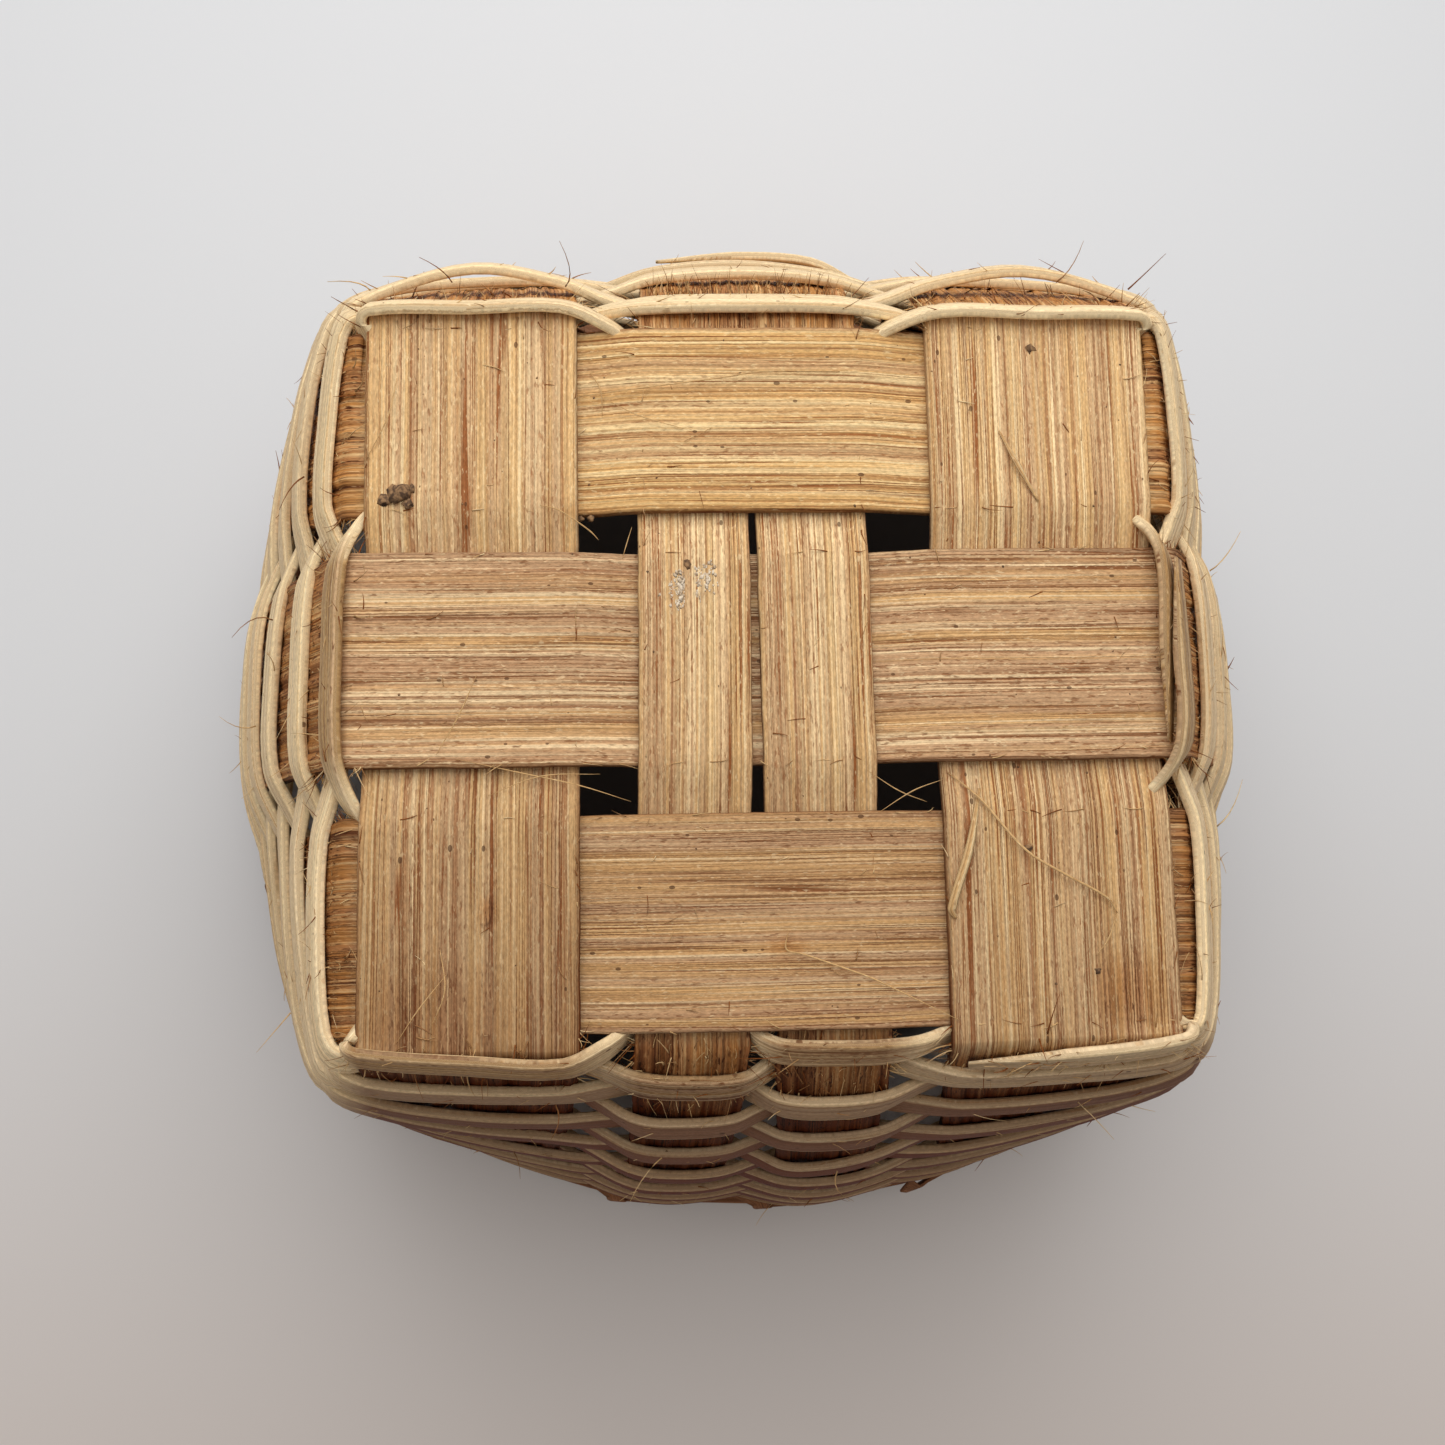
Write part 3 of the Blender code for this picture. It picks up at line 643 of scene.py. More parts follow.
@dataclass(frozen=True)
class ReedFinish:
    """A reed's finish: one tone on its sound parts, and one where it is split or frayed."""

    name: str
    sound: ReedTone
    frayed: ReedTone
    seed: float
    roughness: float
    bump: float
    # The colour that the tint attribute darkens toward; the attribute carries the reed's own tones and painted shade.
    tint: str = "a87c58"

    def material(self) -> bpy.types.Material:
        """Return the finish as a material."""
        made = bpy.data.materials.new(self.name)
        made.use_nodes = True
        bench = Bench(made.node_tree)
        shader = made.node_tree.nodes["Principled BSDF"]
        uv = bench.put("ShaderNodeUVMap", uv_map="reed").outputs[0]
        scale = 1 / (MM * UV_PER_METRE)
        inputs = {0: uv, 1: (scale, scale, 0.0), 2: (self.seed * 37.0, self.seed * 11.0, self.seed)}
        place = bench.put("ShaderNodeVectorMath", inputs, operation="MULTIPLY_ADD").outputs[0]
        sound = self.grain(bench, place, self.sound)
        frayed = self.grain(bench, place, self.frayed)
        rough = bench.put("ShaderNodeAttribute", attribute_name="rough").outputs["Fac"]
        colour = bench.mixed(rough, sound.outputs["Color"], frayed.outputs["Color"])
        # The tint attribute: the reed's own tones, with painted shade and painted light on the edges mixed in.
        tint = bench.put("ShaderNodeAttribute", attribute_name="tint").outputs["Fac"]
        colour = bench.mixed(tint, colour, shade(self.tint), "MULTIPLY")
        inputs = {"Height": sound.outputs["Height"], "Strength": self.bump, "Distance": 0.15 * MM}
        bump = bench.put("ShaderNodeBump", inputs)
        made.node_tree.links.new(colour, shader.inputs["Base Color"])
        made.node_tree.links.new(bump.outputs["Normal"], shader.inputs["Normal"])
        shader.inputs["Roughness"].default_value = self.roughness
        shader.inputs["Specular IOR Level"].default_value = 0.16
        return made

    def grain(self, bench: Bench, place: bpy.types.NodeSocket, tone: ReedTone) -> bpy.types.Node:
        """Return a node of the grain group with a tone's colours."""
        inputs = {
            "Place": place,
            "Pith": shade(tone.pith),
            "Fibre": shade(tone.fibre),
            "Shine": shade(tone.shine),
            "Groove": shade(tone.groove),
            "Groove Depth": tone.groove_depth,
            "Fuzz": tone.fuzz,
        }
        node = self.group(bench)
        for key, value in inputs.items():
            if isinstance(value, bpy.types.NodeSocket):
                bench.tree.links.new(value, node.inputs[key])
            else:
                node.inputs[key].default_value = value
        return node

    def group(self, bench: Bench) -> bpy.types.Node:
        """Return a new node that holds the grain group."""
        return bench.put("ShaderNodeGroup", None, node_tree=reed_grain())

    def dress(self, target: bpy.types.Object) -> None:
        """Give a piece this finish."""
        target.data.materials.clear()
        target.data.materials.append(self.material())


FRAYED_STAKE = ReedTone("b9804e", "bf8446", "e2b77e", "5c3014", 1.0, 1.8)
PALE_STAKE = ReedTone("cfaa7e", "dcb47c", "f8dcaa", "935528", 0.95, 1.0)
GOLDEN_STAKE = ReedTone("cba374", "daae70", "f4d8a2", "92582c", 0.95, 1.0)
MAUVE_STAKE = ReedTone("c8a078", "d8ac74", "f4d8aa", "8a5832", 1.0, 1.2)
SMOOTH_WEAVER = ReedTone("f4dcb2", "f6dcac", "feecc0", "bc905c", 0.6, 0.8)
SPLIT_WEAVER = ReedTone("bc9c76", "b8935f", "dcc094", "7a5030", 1.0, 1.6)
# The lashing: a dark brown reed, darkened further as painted shade.
LASHING_TONE_IN_SHADE = ReedTone("80563a", "7a4e30", "926444", "48291a", 0.6, 1.0)
FIBRE_TONE = ReedTone("cda873", "d8b680", "ecd4a6", "9a6a3c", 0.4, 1.0)
# The rim's hoops: a dark brown reed, darkened further as painted shade.
RIM_TONE_IN_SHADE = ReedTone("7c5236", "764a2c", "8e6040", "43261a", 0.6, 1.0)


@dataclass(frozen=True)
class Mark:
    """A knot or stain on the base: its place from the base's middle, its reach and its depth."""

    x: float
    y: float
    reach_x: float
    reach_y: float
    depth: float

    def depth_at(self, x: float, y: float) -> float:
        """Return the mark's depth at a place from the base's middle."""
        away = ((x - self.x) / self.reach_x) ** 2 + ((y - self.y) / self.reach_y) ** 2
        return self.depth * max(1 - away, 0.0)


@dataclass
class Stakes:
    """The six flat reed stakes, woven into the base and folded down into uprights."""

    form: BasketForm
    top_columns: int = 56
    bottom_columns: int = 16
    upright_rows: int = 64
    row_power: float = 1.7
    base_rows: int = 110
    crossing_run: float = 1.2 * MM
    lift: float = 0.62 * MM
    over_fray_start: float = 0.3 * MM
    under_fray_start: float = -1.6 * MM
    fray_full: float = 2.0 * MM
    # Painted shade on the stakes, most on the left stake, growing toward -Y and down the wall.
    left_painted_shade: float = 0.58
    age: float = 0.36
    down_full: float = 6.0 * MM
    down_most: float = 1.7
    split_slit: float = 0.27
    split_ramp: float = 0.08
    marks: tuple[Mark, ...] = (
        Mark(-22.8 * MM, -19.7 * MM, 1.0 * MM, 1.6 * MM, 0.9),
        Mark(1.1 * MM, -23.0 * MM, 2.2 * MM, 1.2 * MM, 0.7),
        Mark(-27.0 * MM, -27.5 * MM, 7.0 * MM, 5.0 * MM, 0.35),
        Mark(29.0 * MM, -27.0 * MM, 3.5 * MM, 4.0 * MM, 0.8),
        Mark(-14.5 * MM, 13.4 * MM, 3.0 * MM, 0.8 * MM, 0.5),
    )

    def build(self) -> None:
        """Build and dress every stake."""
        left, middle, right = self.form.along_y
        bottom, centre, top = self.form.along_x
        ends = self.form.uprights
        rows = (
            ("stake_left", left, (ends[10], ends[6]), True, PALE_STAKE, 1.3),
            ("stake_right", right, (ends[0], ends[4]), True, PALE_STAKE, 2.1),
            ("stake_cross_top", top, (ends[3], ends[7]), False, GOLDEN_STAKE, 3.7),
            ("stake_cross_centre", centre, (ends[2], ends[8]), False, MAUVE_STAKE, 4.4),
            ("stake_cross_bottom", bottom, (ends[1], ends[9]), False, MAUVE_STAKE, 5.9),
        )
        for name, line, pair, runs_along_y, tone, seed in rows:
            bm = bmesh.new()
            stations = self.shaded_toward_low_side(self.whole_path(line, pair, runs_along_y), self.left_painted_shade if line is left else self.age)
            sweep(bm, stations, self.ring(1.0), self.relief(seed))
            self.finished(name, bm, tone, seed)
        bm = bmesh.new()
        for stations, share in self.split_paths(middle, (ends[11], ends[12]), ends[5]):
            sweep(bm, self.shaded_toward_low_side(stations, self.age), self.ring(share), self.relief(6.6))
        self.finished("stake_middle_split", bm, PALE_STAKE, 6.6)

    def top_at(self, x: float, y: float) -> float:
        """Return the height of the base's upper face at a place from its middle."""
        heights = [0.0]
        for line in self.form.along_y:
            if abs(x - line.centre) < line.width / 2:
                heights.append(self.height_at(self.crossed_by(True), line.first_level, y) + self.form.stake_thickness / 2)
        for line in self.form.along_x:
            if abs(y - line.centre) < line.width / 2:
                heights.append(self.height_at(self.crossed_by(False), line.first_level, -x) + self.form.stake_thickness / 2)
        return self.form.base_height + max(heights)

    def shaded_toward_low_side(self, stations: list[Station], most: float) -> list[Station]:
        """Tint a stake's stations with painted shade, more toward the side with the split stake and further down the
        wall, and return them.
        """
        for station in stations:
            place = (station.place.y - self.form.base_shift.y) / self.form.size_y
            down = (self.form.base_height - station.place.z) / self.down_full
            # Painted shade where the light falls off: toward -Y and down the wall, under the rows.
            station.tint = most * min(max(0.5 - place, 0.0), 1.0) ** 2 * (1 + min(max(down, 0.0), self.down_most))
        return stations

    def ring(self, share: float) -> Ring:
        """Return the outline of a whole stake, or of a share of its width."""
        top, bottom = round(self.top_columns * share), round(self.bottom_columns * share)
        return Ring.flat(self.form.stake_thickness, top, bottom)

    def relief(self, seed: float) -> Relief:
        """Return a stake's ridges."""
        # The stakes get a thin line of painted shade along their edges.
        return Relief(0.06 * MM, 0.6 * MM, seed, 0.06 * MM, 0.6, 60.0, fray=3.0)

    def finished(self, node: str, bm: bmesh.types.BMesh, tone: ReedTone, seed: float) -> None:
        """Turn a mesh into the piece that stands for a stake, with the base's marks on it."""
        rough_layer = bm.verts.layers.float["rough"]
        for vert in bm.verts:
            if vert.co.z > self.form.base_height - self.form.stake_thickness:
                place = vert.co - self.form.base_shift
                vert[rough_layer] += sum(mark.depth_at(place.x, place.y) for mark in self.marks)
        made = piece(node.replace("stake", "reed_stake"), bm, node + "_reed", node)
        ReedFinish(node + "_finish", tone, FRAYED_STAKE, seed, 0.72, 0.6, "704624").dress(made)

    def upright_path(self, upright: Upright, flip: int) -> list[Station]:
        """Return an upright's stations from its foot to its end."""
        stations = []
        for row in range(self.upright_rows + 1):
            along = self.form.wall.length * (row / self.upright_rows) ** self.row_power
            found = self.form.frame(upright, along)
            fray = self.fray_at(along, upright.level)
            station = Station(found.place, found.around * flip, found.outward, upright.width, 0.0, fray)
            station.crown = self.form.crown_at(along)
            stations.append(station)
        return stations

    def fray_at(self, along: float, level: int) -> float:
        """Return how frayed a stake is, by its length past the fold and by its level at the base's edge."""
        start = self.over_fray_start if level > 0 else self.under_fray_start
        return min(max((along - start) / self.fray_full, 0.0), 1.0)

    def height_at(self, crossed: list[StakeLine], level: int, place: float) -> float:
        """Return a base stake's height at a place along it, over and under what it crosses."""
        edges = []
        for index, line in enumerate(crossed):
            height = level * (-1) ** index * self.lift
            inset = line.width / 2 - self.crossing_run
            edges.append((line.centre - inset, height))
            edges.append((line.centre + inset, height))
        for (start, low), (end, high) in zip(edges, edges[1:]):
            if start <= place <= end:
                share = (place - start) / (end - start)
                return low + (high - low) * share * share * (3 - 2 * share)
        return edges[0][1] if place < edges[0][0] else edges[-1][1]

    def base_path(
        self, line: StakeLine, crossed: list[StakeLine], runs_along_y: bool, start: float, end: float
    ) -> list[Station]:
        """Return a stake's stations across the base, from one place to another."""
        stations = []
        across = Vector((1.0, 0.0, 0.0)) if runs_along_y else Vector((0.0, 1.0, 0.0))
        for row in range(self.base_rows + 1):
            place = start + (end - start) * row / self.base_rows
            height = self.form.base_height + self.height_at(crossed, line.first_level, place)
            spot = Vector((line.centre, place, height)) if runs_along_y else Vector((-place, line.centre, height))
            found = Station(spot + self.form.base_shift, across, Vector((0, 0, 1)), line.width)
            half = crossed[-1].centre + crossed[-1].width / 2
            found.rough = self.fray_at(abs(place) - half - self.form.fold_margin, line.first_level)
            stations.append(found)
        return stations

    def crossed_by(self, runs_along_y: bool) -> list[StakeLine]:
        """Return the stakes that one crosses, in the order that it meets them."""
        if runs_along_y:
            return self.form.along_x
        met = reversed(self.form.along_y)
        return [StakeLine(-line.centre, line.width, line.first_level) for line in met]

    def whole_path(self, line: StakeLine, ends: tuple[Upright, Upright], runs_along_y: bool) -> list[Station]:
        """Return the stations of a whole stake from one end to the other."""
        half = (self.form.size_y if runs_along_y else self.form.size_x) / 2
        stations = self.upright_path(ends[0], 1)[::-1]
        stations += self.base_path(line, self.crossed_by(runs_along_y), runs_along_y, -half, half)
        stations += self.upright_path(ends[1], -1)
        return measured(stations)

    def split_paths(
        self, line: StakeLine, halves: tuple[Upright, Upright], whole: Upright
    ) -> list[tuple[list[Station], float]]:
        """Return the stations of the split stake's whole end and of its two halves."""
        half = self.form.size_y / 2
        start = half - self.form.split_start_margin
        crossed = self.crossed_by(True)
        joint = self.base_path(line, crossed, True, start, half)
        paths = [(measured(joint + self.upright_path(whole, -1)), 1.0)]
        for side, upright in zip((-1, 1), halves):
            strand = self.base_path(line, crossed, True, -half, start)
            for station in strand:
                place = station.place.y - self.form.base_shift.y
                share = (start - place) / (start + half)
                wide = self.split_slit * min(share / self.split_ramp, 1.0) + (1 - self.split_slit) * share**3
                opened = wide * self.form.split_gap / 2
                station.place = station.place + Vector((side * (line.width / 4 + opened), 0.0, 0.0))
                station.width = line.width / 2
            paths.append((measured(self.upright_path(upright, 1)[::-1] + strand), 0.5))
        return paths


@dataclass
class Weave:
    """The strand of flat-oval reed that spirals round the uprights, over one and under the next."""

    form: BasketForm
    first_width: float = 2.6 * MM
    width: float = 3.4 * MM
    width_rows: float = 3.0
    thickness: float = 0.9 * MM
    touch: float = 0.05 * MM
    lean_from: float = 3.0 * MM
    first_drop: float = -1.6 * MM
    last_drop: float = 68.0 * MM
    crowding: float = 4.5 * MM
    crowding_fade: float = 7.0
    rows: int = 15
    bow: float = 0.15 * MM
    fold_room: float = 1.0 * MM
    fold_room_fade: float = 2.0 * MM
    splice_step: float = 1.1 * MM
    steps: int = 5
    tip_share: float = 0.5
    tip_thin: float = 0.3
    splices: tuple[int, int] = (2, 96)
    face_tint: float = 0.04
    rim_tint: float = 0.3
    # Painted shade on the strands that face +X.
    right_side_painted_shade: float = 0.1
    start_tint: float = 0.15
    start_numbers: float = 4.0
    # Painted shade on the strands that face -Y, away from the lamp: how much, how much at the first row, and the drop
    # down the wall by which it is full.
    low_side_painted_shade: float = 0.86
    low_side_shade_start: float = 0.24
    low_side_shade_full: float = 12.0 * MM
    # Painted shade on the strands that face +Y.
    high_side_painted_shade: float = 0.06
    # Painted light on the strand's edges: the share of the tint that they keep, and how much is taken off first.
    edge_share: float = 0.66
    lit_edge_relief: float = 0.06
    outside_reach: float = 0.85
    inside_reach: float = 0.85
    corner_draw: float = 0.2
    corner_room: float = 0.7 * MM
    tip_sag: float = 3.0 * MM
    unevenness: float = 0.5 * MM
    loose: dict[int, float] = field(
        default_factory=lambda: {30: 1.5 * MM, 32: 1.5 * MM, 44: 0.3 * MM, 70: 0.4 * MM, 96: 0.1 * MM}
    )
    broad: dict[int, float] = field(default_factory=lambda: {2: 1.25, 8: 1.1, 10: 1.1})
    slid: dict[int, float] = field(
        default_factory=lambda: {4: 0.4 * MM, 6: 0.3 * MM, 10: -0.4 * MM, 11: -0.8 * MM, 12: -1.2 * MM, 18: -1.9 * MM}
    )

    def build(self) -> None:
        """Build and dress the three lengths of the strand."""
        last = self.rows * len(self.form.uprights)
        spans = (
            ("weaver_first_length", 0, self.splices[0], 1.7),
            ("weaver_second_length", self.splices[0], self.splices[1], 2.9),
            ("weaver_third_length", self.splices[1], last, 3.3),
        )
        for name, start, end, seed in spans:
            bm = bmesh.new()
            stations = self.path(start, end, end < last)
            sweep(bm, stations, Ring.oval(self.thickness), self.relief(seed))
            made = piece(name.replace("weaver", "reed_weaver"), bm, name + "_reed", name)
            ReedFinish(name + "_finish", SMOOTH_WEAVER, SPLIT_WEAVER, seed, 0.62, 0.4, "683018").dress(made)

    def relief(self, seed: float) -> Relief:
        """Return the strand's ridges, with less of the tint on its edges, so they stay paler than the face: painted
        light on the edges beside the painted shade.
        """
        return Relief(0.03 * MM, 0.5 * MM, seed, 0.08 * MM, edge_share=self.edge_share, lit_edge_relief=self.lit_edge_relief)

    def drop(self, turn: float) -> float:
        """Return how far down the wall the spiral lies, at a turn counted in uprights."""
        share = turn / (self.rows * len(self.form.uprights))
        crowded = self.crowding * (math.exp(-self.crowding_fade * share) - 1 + share)
        sag = self.tip_sag * max(1 - turn, 0.0)
        return self.first_drop + (self.last_drop - self.first_drop) * share + crowded + sag

    def control(self, number: int, across: float, layer: float) -> Station:
        """Return the strand's station beside an upright, across from one edge to the other."""
        side = Side.OUTSIDE if number % 2 == 0 else Side.INSIDE
        turn = number + across * self.form.edge_share
        along = self.drop(turn) + self.slid.get(number, 0.0)
        along += self.unevenness * noise.noise(Vector((turn * 0.7, 8.0, 1.0))) * min(turn / 4, 1.0)
        room = self.fold_room * math.exp(-along / self.fold_room_fade) if side is Side.INSIDE else 0.0
        offset = (self.form.stake_thickness + self.thickness) / 2 + self.touch + room
        offset += (self.bow + self.loose.get(number, 0.0)) * (1 - across * across)
        offset += self.unevenness * noise.noise(Vector((turn * 0.9, 2.0, 5.0)))
        found = self.form.beside(number, across, max(along, self.lean_from), 0.0)
        found.place = self.form.beside(number, across, along, 0.0).place + found.outward * (side.value * offset + layer)
        turns = number / len(self.form.uprights)
        width = self.first_width + (self.width - self.first_width) * min(turns / self.width_rows, 1.0)
        width *= self.broad.get(number, 1.0)
        # The tints by the way the strand faces (-Y, +Y and +X) are painted shade; the others go by the strand's place
        # along the spiral.
        depth = min(max(along, 0.0) / self.low_side_shade_full, 1.0)
        low_side = max(-found.outward.y, 0.0) * (self.low_side_shade_start + (1 - self.low_side_shade_start) * depth)
        tint = self.face_tint + self.high_side_painted_shade * max(found.outward.y, 0.0)
        tint += self.low_side_painted_shade * low_side + self.rim_tint * max(along, 0.0) / self.last_drop
        tint += self.right_side_painted_shade * max(found.outward.x, 0.0)
        tint += self.start_tint * max(1 - number / self.start_numbers, 0.0)
        return Station(found.place, found.down, found.outward, width, 0.0, self.split_side(number), tint)

    def edge(self, number: int, step: int) -> float:
        """Return how far across an upright the strand keeps to it, toward the next or the last one."""
        along = max(self.drop(number + step / 2), 0.0)
        turned = math.sin(self.form.turn_angle(number, step, along))
        if number % 2:
            return step * (self.inside_reach - self.corner_draw * turned)
        return step * (self.outside_reach + (1 - self.outside_reach) * 0.7 * turned)

    def crossing(self, number: int) -> Station:
        """Return the strand's station in the gap after an upright, where it changes sides."""
        along = self.drop(number + 0.5) + (self.slid.get(number, 0.0) + self.slid.get(number + 1, 0.0)) / 2
        before = self.form.beside(number, 1.0, along, 0.0).place
        after = self.form.beside(number + 1, -1.0, along, 0.0).place
        leave = self.form.beside(number, 1.0, max(along, self.lean_from), 0.0)
        reach = self.form.beside(number + 1, -1.0, max(along, self.lean_from), 0.0)
        outward = (leave.outward + reach.outward).normalized()
        down = (leave.down + reach.down).normalized()
        turned = math.sin(self.form.turn_angle(number, 1, max(along, 0.0)))
        chord = (after - before).length
        out = turned * turned * min(self.corner_room, 0.12 * chord) + 0.2 * turned * chord
        place = (before + after) / 2 + outward * out
        found = self.control(number, 0.0, 0.0)
        return Station(place, down, outward, found.width, 0.0, 0.0, found.tint)

    def split_side(self, number: int) -> float:
        """Return 1 where the strand's flat, fibrous side faces out over an upright, and else 0."""
        return 1.0 if number in (2, 8, 10, 12, 24) else 0.0

    def path(self, start: int, end: int, ends_over: bool) -> list[Station]:
        """Return the smooth run of stations between two uprights' numbers.

        Args:
            start: The number of its first upright along the spiral.
            end: The number of its last upright.
            ends_over: Whether its end is stepped outward, over the next length's start.
        """
        controls = []
        for number in range(start, end + 1):
            layer = self.splice_step if ends_over and number == end else 0.0
            for across in (self.edge(number, -1), 0.0, self.edge(number, 1)):
                controls.append(self.control(number, across, layer))
            if number < end:
                controls.append(self.crossing(number))
        for tip in (controls[0], controls[-1]):
            tip.width *= self.tip_share
            tip.thin = self.tip_thin
        return measured(smoothed(controls, self.steps))


def smoothed(controls: list[Station], steps: int) -> list[Station]:
    """Return stations on a smooth curve through the given ones, with steps between each two."""
    stations = []
    last_across = controls[0].across
    for index in range(len(controls) - 1):
        before = controls[max(index - 1, 0)]
        first, second = controls[index], controls[index + 1]
        after = controls[min(index + 2, len(controls) - 1)]
        for step in range(steps + (1 if index == len(controls) - 2 else 0)):
            share = step / steps
            spot = curve_point(before.place, first.place, second.place, after.place, share)
            ahead = curve_point(before.place, first.place, second.place, after.place, share + 0.01)
            tangent = (ahead - spot).normalized()
            outward = first.outward.lerp(second.outward, share)
            outward = (outward - tangent * outward.dot(tangent)).normalized()
            across = outward.cross(tangent)
            if across.dot(last_across) < 0:
                across = -across
            last_across = across
            width = first.width + (second.width - first.width) * share
            rough = first.rough + (second.rough - first.rough) * share
            tint = first.tint + (second.tint - first.tint) * share
            thin = first.thin + (second.thin - first.thin) * share
            stations.append(Station(spot, across, outward, width, 0.0, rough, tint, thin))
    return stations


def curve_point(before: Vector, first: Vector, second: Vector, after: Vector, share: float) -> Vector:
    """Return a point of the smooth curve from first to second, by the points beside them."""
    gap_before = max((first - before).length, 0.1 * MM)
    gap = max((second - first).length, 0.1 * MM)
    gap_after = max((after - second).length, 0.1 * MM)
    leave = (second - before) * (gap / (gap_before + gap))
    arrive = (after - first) * (gap / (gap_after + gap))
    square, cube = share * share, share**3
    point = first * (2 * cube - 3 * square + 1) + second * (3 * square - 2 * cube)
    return point + leave * (cube - 2 * square + share) + arrive * (cube - square)


@dataclass
class Rim:
    """Two hoops that hold the uprights' ends between them, and the strip that lashes them."""

    form: BasketForm
    hoop_top: float = 71.9 * MM
    hoop_bottom: float = 78.2 * MM
    hoop_thickness: float = 1.3 * MM
    lashing_width: float = 2.2 * MM
    lashing_thickness: float = 0.4 * MM
    lashing_room: float = 0.1 * MM
    steps: int = 5
    wrap: tuple[tuple[float, float, float], ...] = (
        (-0.44, 0.6, -0.08),
        (-0.41, 1.0, 0.08),
        (-0.36, 1.0, 0.3),
        (-0.18, 1.0, 0.7),
        (-0.13, 1.0, 0.94),
        (-0.1, 0.6, 1.08),
        (0.1, -0.6, 1.08),
        (0.13, -1.0, 0.94),
        (0.18, -1.0, 0.7),
        (0.36, -1.0, 0.3),
        (0.41, -1.0, 0.08),
        (0.44, -0.6, -0.08),
    )

    def build(self) -> None:
        """Build and dress both hoops and the lashing."""
        for name, side, seed in (("rim_hoop_outer", Side.OUTSIDE, 7.1), ("rim_hoop_inner", Side.INSIDE, 8.2)):
            bm = bmesh.new()
            ring = Ring.oval(self.hoop_thickness)
            sweep(bm, self.hoop_path(side), ring, Relief(0.04 * MM, 0.8 * MM, seed), True)
            made = piece(name.replace("hoop", "reed_hoop"), bm, name + "_reed", name)
            ReedFinish(name + "_finish", RIM_TONE_IN_SHADE, RIM_TONE_IN_SHADE, seed, 0.65, 0.45).dress(made)
        bm = bmesh.new()
        ring = Ring.oval(self.lashing_thickness)
        sweep(bm, self.lashing_path(), ring, Relief(0.02 * MM, 0.6 * MM, 9.0))
        made = piece("rim_reed_lashing", bm, "rim_lashing_reed", "rim_lashing")
        ReedFinish("rim_lashing_finish", LASHING_TONE_IN_SHADE, LASHING_TONE_IN_SHADE, 9.4, 0.62, 0.4).dress(made)

    def hoop_path(self, side: Side) -> list[Station]:
        """Return a hoop's closed path."""
        offset = side.value * (self.form.stake_thickness + self.hoop_thickness) / 2
        along = (self.hoop_top + self.hoop_bottom) / 2
        controls = []
        for number in range(len(self.form.uprights)):
            for across in (-0.85, 0.0, 0.85):
                found = self.form.beside(number, across, along, offset)
                width = self.hoop_bottom - self.hoop_top
                controls.append(Station(found.place, found.down, found.outward * side.value, width))
        wrapped = controls[-2:] + controls + controls[:3]
        stations = smoothed(wrapped, self.steps)
        return measured(stations[2 * self.steps : -2 * self.steps - 1])

    def lashing_path(self) -> list[Station]:
        """Return the lashing's path, once round the hoops at each upright."""
        offset = self.form.stake_thickness / 2 + self.hoop_thickness + self.lashing_thickness / 2 + self.lashing_room
        controls = []
        for number in range(len(self.form.uprights)):
            for turn, side, depth in self.wrap:
                along = self.hoop_top + (self.hoop_bottom - self.hoop_top) * depth
                found = self.form.beside(number, turn / self.form.edge_share, along, side * offset)
                corner = -1 if depth < 0 else 1 if depth > 1 else 0
                facing = (found.outward * math.copysign(1, side) + found.down * corner).normalized()
                controls.append(Station(found.place, found.around, facing, self.lashing_width))
        return measured(smoothed(controls, self.steps))


@dataclass(frozen=True)
class Splinter:
    """A loose fibre on the base, by the places that it passes, in mm from the base's middle."""

    path: tuple[tuple[float, float], ...]
    width: float
    rise: float = 0.5
    flat: bool = False


@dataclass(frozen=True)
class Hair:
    """A long fibre that stands off the wall: where it starts, where it heads and how it bends.

    The heading and the bend are shares of its length: round the wall, outward and down it.
    """

    number: int
    across: float
    drop: float
    length: float
    heading: tuple[float, float, float]
    bend: tuple[float, float, float]


